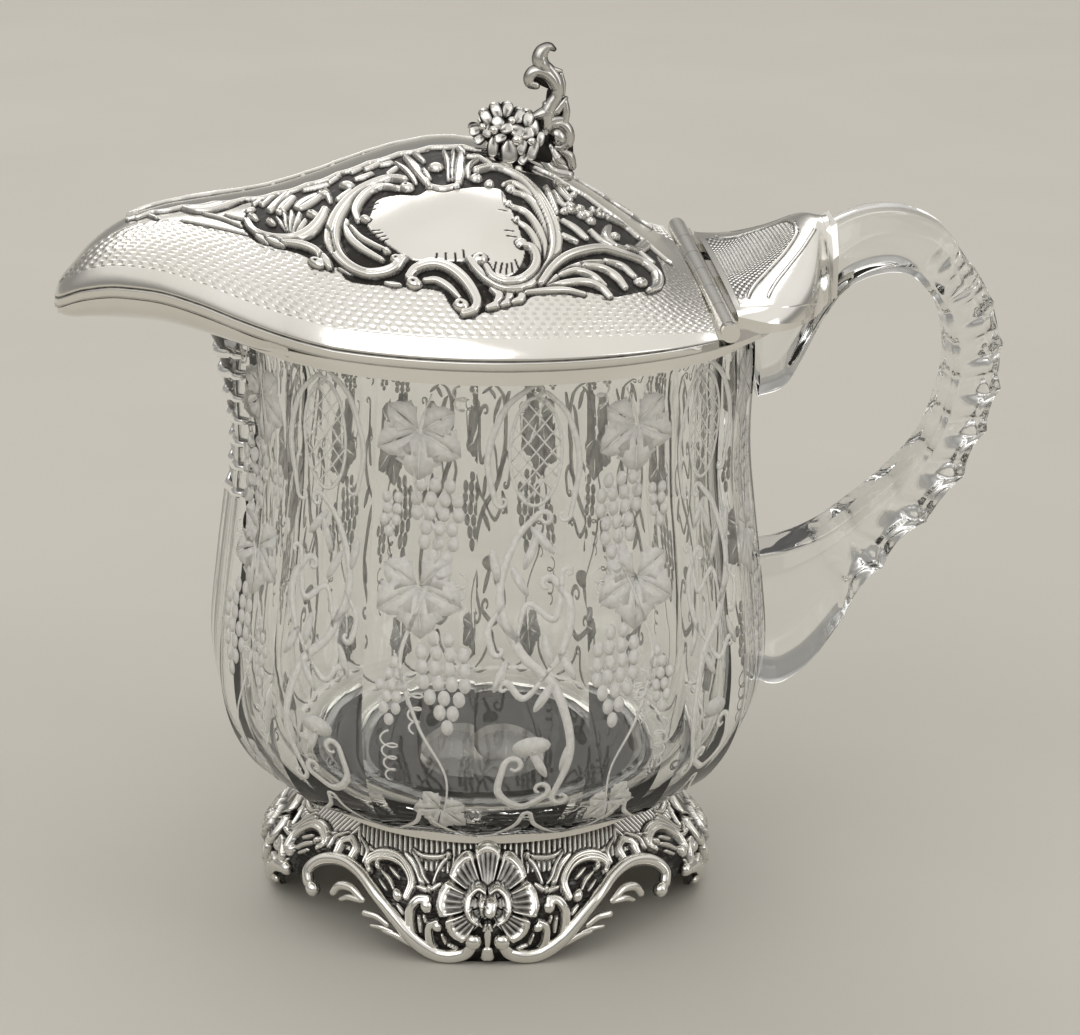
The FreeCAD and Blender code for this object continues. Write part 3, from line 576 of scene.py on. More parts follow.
LID_LOW, LID_HIGH = node_box("lid_shell")
PIN_LOW, PIN_HIGH = node_box("hinge_pin")
SEAT_HEIGHT = node_box("collar_flange")[1][2]
LID_PLAY = 0.4
RIM_HEIGHT = SEAT_HEIGHT + LID_PLAY
REACH = -LID_LOW[0]
BEAK_ROOT = 55.0
LID_RADIUS = LID_HIGH[1]
LID_BACK = LID_HIGH[0]
LID_RISE = 38.0
BEAK_LIFT = 5.3
LID_EDGE = 2.0
LID_WALL = 1.4
HINGE = (PIN_LOW[0] + PIN_HIGH[0]) / 2

BEAK_PLAN = [(0.0, 0.05), (0.015, 0.11), (0.06, 0.185), (0.13, 0.262), (0.30, 0.41), (0.47, 0.548),
             (0.64, 0.688), (0.81, 0.834), (1.0, 1.0)]
CROWN_FRONT = [(-1.0, 0.0), (-0.99, 0.075), (-0.964, 0.17), (-0.917, 0.325), (-0.871, 0.43),
               (-0.825, 0.50), (-0.745, 0.565), (-0.64, 0.605), (-0.52, 0.655), (-0.41, 0.745),
               (-0.30, 0.865), (-0.20, 0.955), (-0.10, 1.0), (0.0, 0.965)]
CROWN_BACK = [(0.0, 0.965), (0.18, 0.87), (0.39, 0.697), (0.56, 0.53), (0.70, 0.37), (0.83, 0.225),
              (1.0, 0.07)]
RIM_LIFT = [(0.0, -0.60), (0.04, -0.28), (0.13, 0.30), (0.30, 0.85), (0.47, 1.0), (0.64, 0.81),
            (0.81, 0.45), (1.0, 0.15), (1.2, 0.0)]
FULLNESS = [(-1.0, 0.9), (-0.7, 1.15), (-0.3, 1.5), (0.5, 1.5)]


def beak_share(along):
    return (along + REACH) / (REACH - BEAK_ROOT)


def rim_half(along):
    circle = np.sqrt(np.maximum(LID_RADIUS ** 2 - along ** 2, 0))
    full = math.sqrt(LID_RADIUS ** 2 - BEAK_ROOT ** 2)
    return np.where(along >= -BEAK_ROOT, circle, full * follow(BEAK_PLAN, beak_share(along)))


def rim_low(along):
    return RIM_HEIGHT + BEAK_LIFT * follow(RIM_LIFT, beak_share(along))


def crown(along):
    share = np.where(along < 0, follow(CROWN_FRONT, along / REACH), follow(CROWN_BACK, along / HINGE))
    return RIM_HEIGHT + LID_RISE * share


def lid_height(along, across):
    """Height of the smooth lid above a place of its plan."""
    low = rim_low(along) + LID_EDGE
    top = np.maximum(crown(along), low + 0.6)
    share = np.clip(np.abs(across) / rim_half(along), 0, 1)
    return low + (top - low) * np.sqrt(1 - share ** 2) ** follow(FULLNESS, along / REACH)


def lid_sheet(stations, turns, shrink=0.0, drop=0.0):
    """Grid of points over the lid, row by row from the beak; turns run from one rim to the other."""
    half = (rim_half(stations) - shrink)[:, None]
    low = rim_low(stations)[:, None]
    top = np.maximum(crown(stations)[:, None] - drop, low + LID_EDGE + 0.6 * (drop == 0))
    power = follow(FULLNESS, stations / REACH)[:, None]
    edge = low + LID_EDGE * (1.0 if drop == 0 else 0.6)
    along = np.repeat(stations[:, None], len(turns), 1)
    across = half * np.sin(turns)[None, :]
    rise = np.maximum(np.cos(turns), 0)[None, :] ** power
    return np.stack([along, across, edge + (top - edge) * rise], 2)


# The photograph's ornament is given where its pixels' rays meet the near side of the lid

def lid_pixels(pixels):
    """Places (along the lid, up from the rim over its surface) that pixels of the photograph show."""
    places = []
    for pixel in pixels:
        ray = pixel_ray(pixel)
        span = (np.linspace(212.0, 160.0, 1200) - EYE[2]) / ray[2]
        track = EYE + span[:, None] * ray
        x, y, z = track.T
        over = (np.abs(y) < rim_half(x)) & (x > -REACH) & (x < LID_BACK) & (y < 0)
        above = np.where(over, z - lid_height(x, y), np.inf)
        k = np.argmax(above <= 0) if (above <= 0).any() else np.argmin(above)
        places.append((x[k], climb(x[k], y[k])))
    return np.array(places)


def climb(along, across):
    """Distance over the lid's surface from its rim to a place of its plan."""
    turn = math.asin(np.clip(abs(across) / rim_half(along), 0, 1))
    turns = np.linspace(math.pi / 2, turn, 60)
    line = lid_sheet(np.array([float(along)]), turns)[0]
    return LID_EDGE + np.linalg.norm(np.diff(line, axis=0), axis=1).sum()


MIRROR_FIELD = [(372, 212), (378, 201), (398, 196), (418, 196), (430, 190), (456, 190), (478, 188), (500, 190),
                (508, 204), (516, 222), (522, 240), (524, 256), (516, 272), (500, 278), (488, 262), (470, 262),
                (446, 262), (424, 262), (408, 258), (392, 248), (376, 236), (368, 226)]
CARTOUCHE = [(240, 224), (252, 206), (272, 194), (296, 184), (330, 168), (372, 164), (404, 152), (440, 144),
             (470, 150), (510, 168), (548, 178), (584, 184), (616, 202), (644, 230), (660, 262), (664, 286),
             (622, 296), (584, 292), (540, 294), (520, 304), (486, 312), (464, 318), (450, 306), (440, 292),
             (408, 288), (350, 282), (338, 268), (318, 270), (304, 256), (270, 246), (250, 238)]
# Scrolls: line, half width, height, channel
SCROLLS = [
    # Leaves and bands behind the main scrolls
    ([(503, 186), (512, 184), (524, 190), (536, 202)], 0.8, 1.1, 0.0),
    ([(513, 193), (526, 198), (538, 211), (546, 227), (549, 243)], 0.95, 1.3, 0.25),
    ([(512, 208), (525, 213), (536, 226), (543, 242), (546, 258)], 0.85, 1.2, 0.2),
    ([(518, 223), (528, 230), (536, 243), (540, 258)], 0.75, 1.1, 0.15),
    ([(346, 222), (350, 237), (359, 247), (370, 254), (382, 261)], 1.1, 1.2, 0.2),
    ([(352, 228), (361, 238), (373, 245), (386, 251)], 0.8, 1.1, 0.1),
    ([(425, 281), (437, 281), (449, 288), (459, 298)], 0.9, 1.1, 0.15),
    ([(488, 309), (497, 305), (499, 296), (492, 290)], 1.1, 1.3, 0.2),
    ([(503, 306), (509, 301), (509, 292)], 1.0, 1.2, 0.2),
    ([(514, 303), (521, 299), (521, 290)], 1.0, 1.2, 0.2),
    ([(386, 284), (400, 286)], 0.7, 0.9, 0.0), ([(340, 270), (354, 274)], 0.7, 0.8, 0.0),
    # Fan over the mirror
    ([(398, 168), (388, 175)], 0.8, 0.9, 0.0), ([(396, 164), (408, 172), (416, 184)], 0.75, 1.0, 0.1),
    ([(406, 159), (419, 173), (429, 187)], 1.15, 1.5, 0.25), ([(414, 154), (424, 163)], 0.8, 1.1, 0.1),
    ([(444, 153), (449, 166), (449, 181)], 0.75, 1.1, 0.1), ([(453, 152), (454, 166), (453, 181)], 0.6, 1.0, 0.0),
    ([(461, 156), (460, 172), (458, 187)], 1.15, 1.5, 0.25), ([(468, 158), (479, 158), (490, 165)], 0.9, 1.1, 0.1),
    ([(468, 178), (469, 167), (477, 161)], 0.7, 1.0, 0.0), ([(424, 170), (430, 180)], 0.6, 0.9, 0.0),
    ([(429, 187), (443, 190), (457, 187)], 0.9, 1.1, 0.0),
    ([(421, 151), (432, 146), (445, 144), (456, 147), (463, 154)], 1.1, 1.5, 0.2),
    # Main scrolls about the mirror
    ([(404, 181), (390, 180), (374, 185), (358, 194), (344, 208), (335, 224), (333, 240), (338, 255), (350, 267),
      (366, 274), (382, 274), (395, 269), (403, 260)], 1.65, 1.7, 0.45),
    ([(398, 190), (384, 188), (371, 192), (361, 201), (356, 212), (358, 222)], 1.05, 1.5, 0.3),
    ([(476, 172), (490, 169), (506, 172), (522, 181), (536, 195), (547, 213), (554, 232), (555, 250), (549, 267),
      (536, 281), (519, 289), (502, 288), (487, 280), (476, 270), (470, 262)], 1.45, 1.7, 0.4),
    ([(521, 247), (531, 249), (536, 260), (532, 272), (520, 281), (505, 283), (492, 277), (486, 268)],
     1.15, 1.6, 0.35),
    ([(409, 279), (416, 270), (430, 265), (445, 267), (459, 275), (470, 288), (477, 303), (473, 312), (464, 315)],
     1.35, 1.7, 0.35),
    # Flower garland over the left scroll
    ([(352, 174), (363, 168)], 0.8, 1.1, 0.1), ([(366, 171), (379, 165)], 0.85, 1.1, 0.1),
    ([(381, 167), (392, 164)], 0.8, 1.0, 0.0), ([(340, 167), (352, 160)], 0.75, 1.0, 0.1),
    ([(330, 161), (344, 154)], 0.7, 0.9, 0.0), ([(356, 181), (372, 175)], 0.8, 1.1, 0.1),
    ([(338, 201), (351, 192)], 0.85, 1.1, 0.1), ([(318, 168), (328, 160)], 0.7, 0.9, 0.0),
    ([(306, 176), (318, 170)], 0.8, 1.0, 0.1), ([(338, 178), (330, 184)], 0.8, 1.1, 0.1),
    # Left group
    ([(288, 233), (277, 219)], 0.6, 0.9, 0.0), ([(290, 233), (284, 214)], 0.7, 1.0, 0.0),
    ([(292, 233), (292, 213)], 0.7, 1.0, 0.0), ([(295, 233), (300, 215)], 0.65, 1.0, 0.0),
    ([(298, 233), (306, 221)], 0.55, 0.9, 0.0),
    ([(262, 206), (268, 199), (277, 195)], 1.2, 1.3, 0.3), ([(270, 212), (280, 203), (289, 195)], 1.2, 1.4, 0.3),
    ([(279, 214), (286, 206), (294, 199)], 1.1, 1.3, 0.3), ([(254, 206), (262, 198)], 0.8, 1.0, 0.1),
    ([(247, 212), (254, 210)], 0.7, 0.9, 0.0), ([(299, 209), (307, 203), (318, 197)], 2.0, 1.2, 0.3),
    ([(296, 190), (308, 184), (321, 181), (334, 178)], 0.9, 1.2, 0.1), ([(300, 186), (305, 177)], 0.7, 1.0, 0.0),
    ([(310, 183), (316, 173)], 0.7, 1.0, 0.0), ([(320, 180), (326, 172)], 0.7, 1.0, 0.0),
    ([(304, 192), (316, 189), (328, 186)], 0.7, 1.0, 0.0),
    ([(247, 222), (253, 231), (264, 237), (280, 240), (297, 239), (311, 232), (321, 221), (326, 211)],
     1.45, 1.6, 0.4),
    ([(258, 238), (267, 243)], 1.15, 1.3, 0.1), ([(270, 242), (282, 246)], 1.25, 1.4, 0.1),
    ([(285, 244), (301, 246), (315, 251), (325, 261)], 1.3, 1.6, 0.35), ([(325, 258), (329, 268)], 1.2, 1.5, 0.0),
    ([(327, 232), (328, 244), (332, 254)], 0.8, 1.0, 0.1), ([(330, 203), (326, 190)], 0.7, 1.0, 0.0),
    # Right group
    ([(556, 183), (561, 192), (569, 201)], 1.3, 1.3, 0.3), ([(565, 180), (567, 190)], 0.9, 1.1, 0.1),
    ([(552, 193), (559, 202), (567, 209)], 1.0, 1.2, 0.2), ([(545, 188), (551, 200), (556, 214)], 0.8, 1.1, 0.1),
    ([(573, 186), (586, 192), (598, 200)], 0.9, 1.1, 0.1), ([(590, 197), (604, 201), (617, 209)], 0.9, 1.2, 0.15),
    ([(596, 206), (610, 212), (624, 221)], 0.95, 1.2, 0.2), ([(602, 217), (615, 223), (627, 230), (637, 239)],
                                                          1.1, 1.3, 0.25),
    ([(630, 222), (642, 232), (646, 243), (638, 251), (626, 249)], 1.25, 1.5, 0.35),
    ([(608, 228), (606, 238), (613, 246), (624, 250)], 1.0, 1.2, 0.2), ([(590, 232), (600, 241), (612, 248)],
                                                                     0.85, 1.1, 0.1),
    ([(562, 222), (574, 229), (586, 240)], 0.9, 1.2, 0.15), ([(562, 236), (576, 243)], 0.85, 1.1, 0.1),
    ([(640, 254), (652, 264)], 0.9, 1.1, 0.1), ([(618, 205), (632, 216), (642, 226)], 0.8, 1.0, 0.0),
    ([(547, 285), (562, 274), (583, 265), (604, 263)], 0.85, 1.1, 0.1),
    ([(560, 276), (576, 272), (592, 277), (604, 287)], 0.9, 1.2, 0.2),
    ([(584, 267), (601, 269), (615, 277), (625, 289)], 1.0, 1.3, 0.2), ([(604, 262), (621, 267), (634, 278)],
                                                                     0.9, 1.2, 0.15),
    ([(547, 289), (566, 284), (586, 283), (601, 289), (610, 298)], 0.95, 1.2, 0.2),
    ([(526, 293), (546, 291), (566, 291), (584, 295)], 0.8, 1.0, 0.1),
    ([(541, 284), (551, 270), (564, 259), (582, 252), (603, 250), (624, 256), (643, 264), (656, 275), (657, 287),
      (649, 292)], 1.4, 1.6, 0.4),
    # Leaves along the beak's ridge
    ([(204, 215), (222, 219), (241, 227)], 0.7, 0.9, 0.1), ([(182, 221), (204, 225), (228, 230), (247, 235)],
                                                          0.45, 0.6, 0.0),
    ([(188, 193), (200, 203)], 0.7, 1.0, 0.0), ([(197, 195), (209, 204)], 0.7, 1.0, 0.0),
    ([(207, 195), (220, 203)], 0.6, 0.9, 0.0), ([(217, 194), (231, 201)], 0.6, 0.9, 0.0),
    ([(226, 216), (244, 220)], 0.6, 0.8, 0.0), ([(128, 221), (135, 216), (145, 214), (156, 219)], 0.95, 1.1, 0.3),
    ([(138, 209), (149, 215)], 0.45, 0.6, 0.0), ([(146, 207), (158, 214)], 0.45, 0.6, 0.0),
    ([(154, 205), (164, 211)], 0.4, 0.5, 0.0),
    ([(170, 204), (180, 209), (193, 212), (207, 211), (222, 207), (238, 202), (253, 197)], 1.4, 1.6, 0.25),
]
# Round ends of scrolls and buds: pixel, radius, and whether it has a drilled eye
KNOBS = [((397, 261), 1.7, True), ((407, 189), 1.9, True), ((366, 221), 1.35, False), ((387, 253), 1.0, False),
         ((476, 180), 1.6, True), ((489, 186), 1.3, False), ((480, 260), 1.9, True), ((510, 191), 1.3, False),
         ((508, 206), 1.0, False), ((516, 222), 0.9, False), ((521, 245), 1.6, False), ((414, 284), 2.0, True),
         ((461, 306), 2.0, True), ((436, 169), 2.0, False), ((425, 151), 1.3, True), ((429, 188), 0.9, False),
         ((457, 188), 0.9, False), ((347, 187), 2.0, False), ((313, 216), 1.6, True), ((253, 219), 1.5, True),
         ((271, 224), 1.3, True), ((283, 213), 1.0, False), ((324, 196), 1.8, True), ((317, 264), 2.1, True),
         ((590, 223), 1.3, True), ((563, 213), 1.1, False), ((614, 238), 1.4, True), ((640, 284), 1.8, True),
         ((171, 204), 1.4, False), ((555, 222), 0.9, False), ((572, 197), 1.0, False)]
FLOWERS = [((334, 170), 2.3, 5), ((577, 212), 2.7, 5), ((596, 214), 1.6, 5)]
# Cut lines that fray the mirror's edge, from the scrolls inwards
FRAY = [((366, 232), (380, 231)), ((368, 236), (383, 234)), ((370, 240), (386, 237)), ((374, 245), (388, 240)),
        ((366, 213), (376, 210)), ((368, 208), (379, 204)), ((372, 203), (382, 199)), ((380, 199), (388, 196)),
        ((494, 272), (496, 263)), ((500, 274), (502, 264)), ((506, 275), (507, 265)), ((512, 273), (511, 264)),
        ((518, 269), (515, 261)), ((506, 212), (499, 211)), ((513, 232), (505, 231)), ((516, 238), (507, 237)),
        ((446, 262), (446, 254)), ((456, 262), (455, 254)), ((436, 262), (437, 254)), ((464, 258), (463, 251))]


SCROLL_FULLNESS = 1.2
# Plain band between the ornament's scalloped upper border and the crest, along the lid
CREST_GAP = [(-92.0, 0.8), (-40.0, 1.0), (0.0, 1.4), (20.0, 2.5), (34.0, 5.0), (46.0, 9.0)]
CREST_WAVE = 1.5
CREST_WAVE_LENGTH = 8.0
DASH_START = 8.5
DASH_PITCH = 1.5
DASH_LENGTH = 2.6
GROUND_DARK = 0.88
# Share of the lid's surface up to which the dash field climbs, along the lid
DASH_LIMIT = [(-1.0, 0.86), (-0.75, 0.80), (-0.62, 0.62), (-0.4, 0.45), (0.1, 0.45), (0.3, 0.75), (0.5, 1.0)]


def chase_lid(relief, span):
    """Ornament of the lid's near side; the far side mirrors it."""
    x, up = relief.points.T
    row = np.floor(up / DASH_PITCH)
    phase = (x + DASH_PITCH * (row % 2) + 0.35 * np.sin(row * 1.7)) / DASH_LENGTH
    dash = np.clip(np.cos(2 * math.pi * phase) * 3 + 0.6, 0, 1) * np.sin(math.pi * (up / DASH_PITCH - row)) ** 0.7
    textured = (up > DASH_START) & (up < span * follow(DASH_LIMIT, x / REACH))
    relief.height[textured] -= 0.2 * dash[textured]
    relief.dark[textured] += 0.26 * dash[textured]
    groove = np.exp(-((up - 2.6) / 0.35) ** 2)
    relief.height -= 0.35 * groove
    relief.dark += 0.8 * groove
    ground = smooth_path(np.concatenate([lid_pixels(CARTOUCHE), lid_pixels(CARTOUCHE[:1])]), 1.0)
    relief.field(ground, -0.15, GROUND_DARK)
    mirror = smooth_path(np.concatenate([lid_pixels(MIRROR_FIELD), lid_pixels(MIRROR_FIELD[:1])]), 0.6)
    relief.field(mirror, 0.3, 0.0)
    for pixels in FRAY:
        relief.cut(smooth_path(lid_pixels(pixels)), 0.32, 0.12)
    for pixels, width, height, channel in SCROLLS:
        path = smooth_path(lid_pixels(pixels))
        relief.stroke(path, swell(len(path), width * SCROLL_FULLNESS, 0.6, 0.6), height, moat=0.6, channel=channel)
    for pixel, radius, eye in KNOBS:
        relief.knob(lid_pixels([pixel])[0], radius, 1.7, eye)
    for centre, radius, petals in FLOWERS:
        relief.flower(lid_pixels([centre])[0], radius * 1.25, 1.9, petals)
    top = span - follow(CREST_GAP, x) - CREST_WAVE * np.abs(np.sin(math.pi * x / CREST_WAVE_LENGTH))
    plain = (up > top) & (x > CREST_GAP[0][0])
    relief.height[plain] = 0.0
    relief.dark[plain] = 0.0
    line = np.linspace(CREST_GAP[0][0], CREST_GAP[-1][0], 260)
    crest = x[np.argsort(x)], top[np.argsort(x)]
    border = np.stack([line, np.interp(line, *crest)], 1)
    relief.stroke(border, swell(len(border), 0.85, 0.5, 0.5), 1.1, moat=0.5)


FAR_DROP = 0.27


def lowered(grid):
    """The near side's ornament for the far side, where it keeps clear of the crest."""
    half = grid.shape[1]
    column = np.arange(half)
    there = column + FAR_DROP * half * np.clip((column / half - 0.05) / 0.4, 0, 1)
    low = np.clip(there.astype(int), 0, half - 1)
    return np.where(there < half - 1, grid[:, low], 0.0)


def build_lid():
    step = 4
    rows, columns = 560 // step * step + 1, 800 // step * step + 1
    share = np.linspace(0, 1, rows - 2)
    stations = -REACH + (LID_BACK + REACH) * share
    stations[1:8] = -REACH + (stations[8] + REACH) * (np.arange(1, 8) / 8) ** 1.6
    turns = np.linspace(-math.pi / 2, math.pi / 2, columns - 2)
    sheet = lid_sheet(stations, turns)
    seam = np.linalg.norm(np.diff(sheet, axis=1), axis=2)
    half = columns // 2
    up = np.concatenate([np.zeros((rows - 2, 1)), np.cumsum(seam, axis=1)], 1)[:, :half] + LID_EDGE
    relief = Relief(np.repeat(stations[:, None], half, 1), up)
    span = np.repeat(up[:, -1:], half, 1).ravel()
    chase_lid(relief, span)
    height, dark = relief.grids()
    height = np.concatenate([height, lowered(height)[:, -2::-1]], 1)[:, :columns - 2]
    dark = np.concatenate([dark, lowered(dark)[:, -2::-1]], 1)[:, :columns - 2]
    outer = sheet + normals_of(sheet) * height[:, :, None]
    lip_left, lip_right = sheet[:, :1].copy(), sheet[:, -1:].copy()
    lip_left[:, :, 2] -= LID_EDGE
    lip_right[:, :, 2] -= LID_EDGE
    outer = np.concatenate([lip_left, outer, lip_right], 1)
    dark = np.pad(dark, ((0, 0), (1, 1)))
    front, back = outer[:1].copy(), outer[-1:].copy()
    front[:, :, 2] = rim_low(stations[0])
    back[:, :, 2] = rim_low(stations[-1])
    outer = np.concatenate([front, outer, back])
    dark = np.pad(dark, ((1, 1), (0, 0)))
    inner_stations = np.interp(stations, [stations[0], stations[-1]], [-REACH + 2.2, LID_BACK - LID_WALL])
    inner = lid_sheet(inner_stations, turns, LID_WALL * 1.1, LID_WALL * 1.05)
    left, right = inner[:, :1].copy(), inner[:, -1:].copy()
    for side in (left, right):
        side[:, 0, 2] = rim_low(inner_stations)
    inner = np.concatenate([left, inner, right], 1)
    front, back = inner[:1].copy(), inner[-1:].copy()
    front[:, :, 2] = rim_low(inner_stations[0])
    back[:, :, 2] = rim_low(inner_stations[-1])
    inner = np.concatenate([front, inner, back])[::step, ::step]
    few_rows, few_columns = inner.shape[:2]
    start = outer.shape[0] * outer.shape[1]
    faces = grid_faces(outer.shape[0], outer.shape[1])
    faces += grid_faces(few_rows, few_columns, start, flip=True)
    faces += join_loops(border_loop(*outer.shape[:2]), border_loop(few_rows, few_columns, start), step, flip=True)
    points = np.concatenate([outer.reshape(-1, 3), inner.reshape(-1, 3)])
    dark = np.concatenate([dark.ravel(), np.full(few_rows * few_columns, 0.15)])
    piece = make_object("lid_chased_shell", points, faces, CHASED_SILVER, "lid", dark)
    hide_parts("lid_shell")


# Foot

SKIRT_LOW, SKIRT_HIGH = node_box("foot_skirt")
SKIRT_TOP = SKIRT_HIGH[2]
FOOT_BULGE = SKIRT_HIGH[0]
FOOT_RADIUS = FOOT_BULGE - 2.3
SKIRT_TOP_RADIUS = 46.5
SKIRT_WALL = 1.6
FOOT_TURN = math.radians(-3.3)
ARCH_HEIGHT = 19.0
ARCH_HALF = 20.0
ARCH_TURN = math.radians(43.0)
SKIRT_OUTLINE = [(0.0, FOOT_RADIUS), (0.25, FOOT_BULGE), (0.50, FOOT_BULGE - 0.8),
                 (0.75, (FOOT_BULGE + SKIRT_TOP_RADIUS) / 2), (1.0, SKIRT_TOP_RADIUS)]
# Lower edge of the skirt: degrees from the middle of the near or far foot, and height
SKIRT_FLOOR = [(0, 0.0), (10.5, 0.0), (13.6, 1.4), (17.3, 3.6), (21.0, 7.2), (25.6, 11.8), (30.2, 15.4),
               (36.0, 18.4), (42.0, 19.8), (47.0, 19.6), (51.5, 18.2), (54.5, 15.4), (57.0, 13.6),
               (61.0, 12.4), (65.5, 11.4), (71.5, 9.6), (76.4, 6.6), (80.6, 2.9), (83.0, 0.0), (90.0, 0.0)]


def skirt_radius(height):
    return follow(SKIRT_OUTLINE, np.asarray(height) / SKIRT_TOP)


def arch_floor(angle):
    """Lower edge of the skirt at an angle about the jug's axis."""
    offset = (angle - FOOT_TURN) % math.pi - math.pi / 2
    return follow(SKIRT_FLOOR, np.degrees(np.abs(offset)))


def build_foot():
    step = 4
    columns, rows = 1440, 24 * step + 1
    angle = np.linspace(0, 2 * math.pi, columns, endpoint=False)
    floor = arch_floor(angle)
    share = np.linspace(0, 1, rows)[:, None]
    height = floor[None, :] + (SKIRT_TOP - floor[None, :]) * share
    radius = skirt_radius(height)
    sheet = np.stack([radius * np.cos(angle), radius * np.sin(angle), height], 2)
    quarter = (angle - FOOT_TURN - math.pi / 2 + math.pi / 4) % (math.pi / 2) - math.pi / 4
    across = np.abs(quarter)[None, :] * radius
    relief = Relief(across, height)
    chase_foot(relief)
    lift, dark = relief.grids()
    outer = sheet + normals_of(sheet, True) * -lift[:, :, None]
    few = sheet[::step, ::step].copy()
    inner_radius = radius[::step, ::step] - SKIRT_WALL
    few[:, :, 0] = inner_radius * np.cos(angle[::step])
    few[:, :, 1] = inner_radius * np.sin(angle[::step])
    start = rows * columns
    few_rows, few_columns = few.shape[:2]
    faces = grid_faces(rows, columns, closed=True)
    faces += grid_faces(few_rows, few_columns, start, flip=True, closed=True)
    low_dense = list(range(columns))
    low_sparse = [start + j for j in range(few_columns)]
    top_dense = [(rows - 1) * columns + j for j in range(columns)]
    top_sparse = [start + (few_rows - 1) * few_columns + j for j in range(few_columns)]
    faces += join_loops(low_dense, low_sparse, step, flip=True)
    faces += join_loops(top_dense, top_sparse, step)
    points = np.concatenate([outer.reshape(-1, 3), few.reshape(-1, 3)])
    dark = np.concatenate([dark.ravel(), np.full(few_rows * few_columns, 0.4)])
    piece = make_object("foot_chased_skirt", points, faces, CHASED_SILVER, "jug", dark)
    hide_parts("foot_skirt")


def foot_pixels(pixels):
    """Places (round from the near foot's middle, height) that pixels on the near foot show."""
    places = []
    for pixel in pixels:
        ray = pixel_ray(pixel)
        span = np.linspace(ORBIT_DISTANCE - 110, ORBIT_DISTANCE + 20, 1500)
        track = EYE + span[:, None] * ray / np.linalg.norm(ray)
        x, y, z = track.T
        under = np.hypot(x, y) <= skirt_radius(np.clip(z, 0, SKIRT_TOP))
        k = np.argmax(under)
        angle = math.atan2(y[k], x[k]) - FOOT_TURN + math.pi / 2
        angle = (angle + math.pi) % (2 * math.pi) - math.pi
        places.append((abs(angle) * math.hypot(x[k], y[k]), z[k]))
    return np.array(places)


# Scrolls of the near foot's left half: line, half width, height, channel
FOOT_SCROLLS = [
    ([(332, 840), (334, 851)], 0.6, 0.9, 0.0), ([(341, 840), (343, 852)], 0.6, 0.9, 0.0),
    ([(352, 859), (357, 848), (352, 838), (342, 832), (328, 831), (318, 837), (316, 846)], 1.35, 1.8, 0.3),
    ([(383, 872), (390, 880), (394, 889)], 0.7, 1.0, 0.0), ([(391, 868), (399, 877)], 0.6, 0.9, 0.0),
    ([(380, 880), (386, 889)], 0.5, 0.8, 0.0),
    ([(407, 897), (412, 884), (409, 871), (401, 860), (389, 855), (377, 856), (369, 862), (370, 869)],
     1.45, 1.9, 0.35),
    ([(407, 855), (416, 866), (421, 880), (423, 889)], 0.95, 1.4, 0.25), ([(366, 846), (374, 850)], 0.6, 0.9, 0.0),
    ([(362, 838), (368, 850), (364, 862)], 0.6, 0.9, 0.0),
    ([(414, 850), (424, 856), (438, 857), (449, 855)], 0.6, 1.0, 0.0),
    ([(413, 852), (420, 864), (424, 876), (430, 885)], 0.5, 0.9, 0.0),
    ([(451, 856), (442, 864), (436, 876), (433, 885)], 0.5, 0.9, 0.0),
    ([(418, 887), (430, 890), (441, 884)], 0.7, 1.0, 0.0), ([(398, 905), (404, 914)], 0.6, 0.8, 0.0),
    ([(421, 948), (413, 934), (410, 920), (411, 908), (418, 900), (428, 899)], 1.3, 1.8, 0.3),
    ([(419, 917), (421, 931)], 0.6, 1.0, 0.0), ([(424, 916), (427, 925)], 0.45, 0.8, 0.0),
    ([(441, 951), (432, 944), (429, 934), (430, 925), (437, 921)], 1.1, 1.7, 0.25),
    ([(442, 934), (446, 943)], 0.5, 0.9, 0.0), ([(448, 944), (458, 948)], 0.5, 0.8, 0.0),
    ([(489, 926), (488, 946)], 0.8, 1.2, 0.2), ([(478, 922), (484, 928)], 0.5, 0.9, 0.0),
]
FOOT_KNOBS = [((321, 847), 1.5), ((379, 866), 1.0), ((398, 895), 1.5), ((427, 906), 1.8), ((438, 926), 1.5),
              ((449, 855), 0.8), ((485, 916), 0.7), ((430, 889), 0.8)]


FLUTE_PITCH = 1.5
FLUTE_LOW = 23.0


def chase_foot(relief):
    """Ornament of one foot's half; it is repeated on both sides of the four feet."""
    across, height = relief.points.T
    relief.height[:] = 0.12 * np.cos(2 * math.pi * height / 0.9)
    relief.dark[:] = 0.85
    flute = np.cos(2 * math.pi * across / FLUTE_PITCH)
    band = (height > FLUTE_LOW) & (height < SKIRT_TOP)
    relief.height[band] = 0.4 * flute[band]
    relief.dark[band] = 0.4 - 0.45 * flute[band]
    for pixels, width, rise, channel in FOOT_SCROLLS:
        path = smooth_path(foot_pixels(pixels))
        relief.stroke(path, swell(len(path), width, 0.65, 0.65), rise, moat=0.45, channel=channel)
    for pixel, radius in FOOT_KNOBS:
        relief.knob(foot_pixels([pixel])[0], radius, 1.9, False)


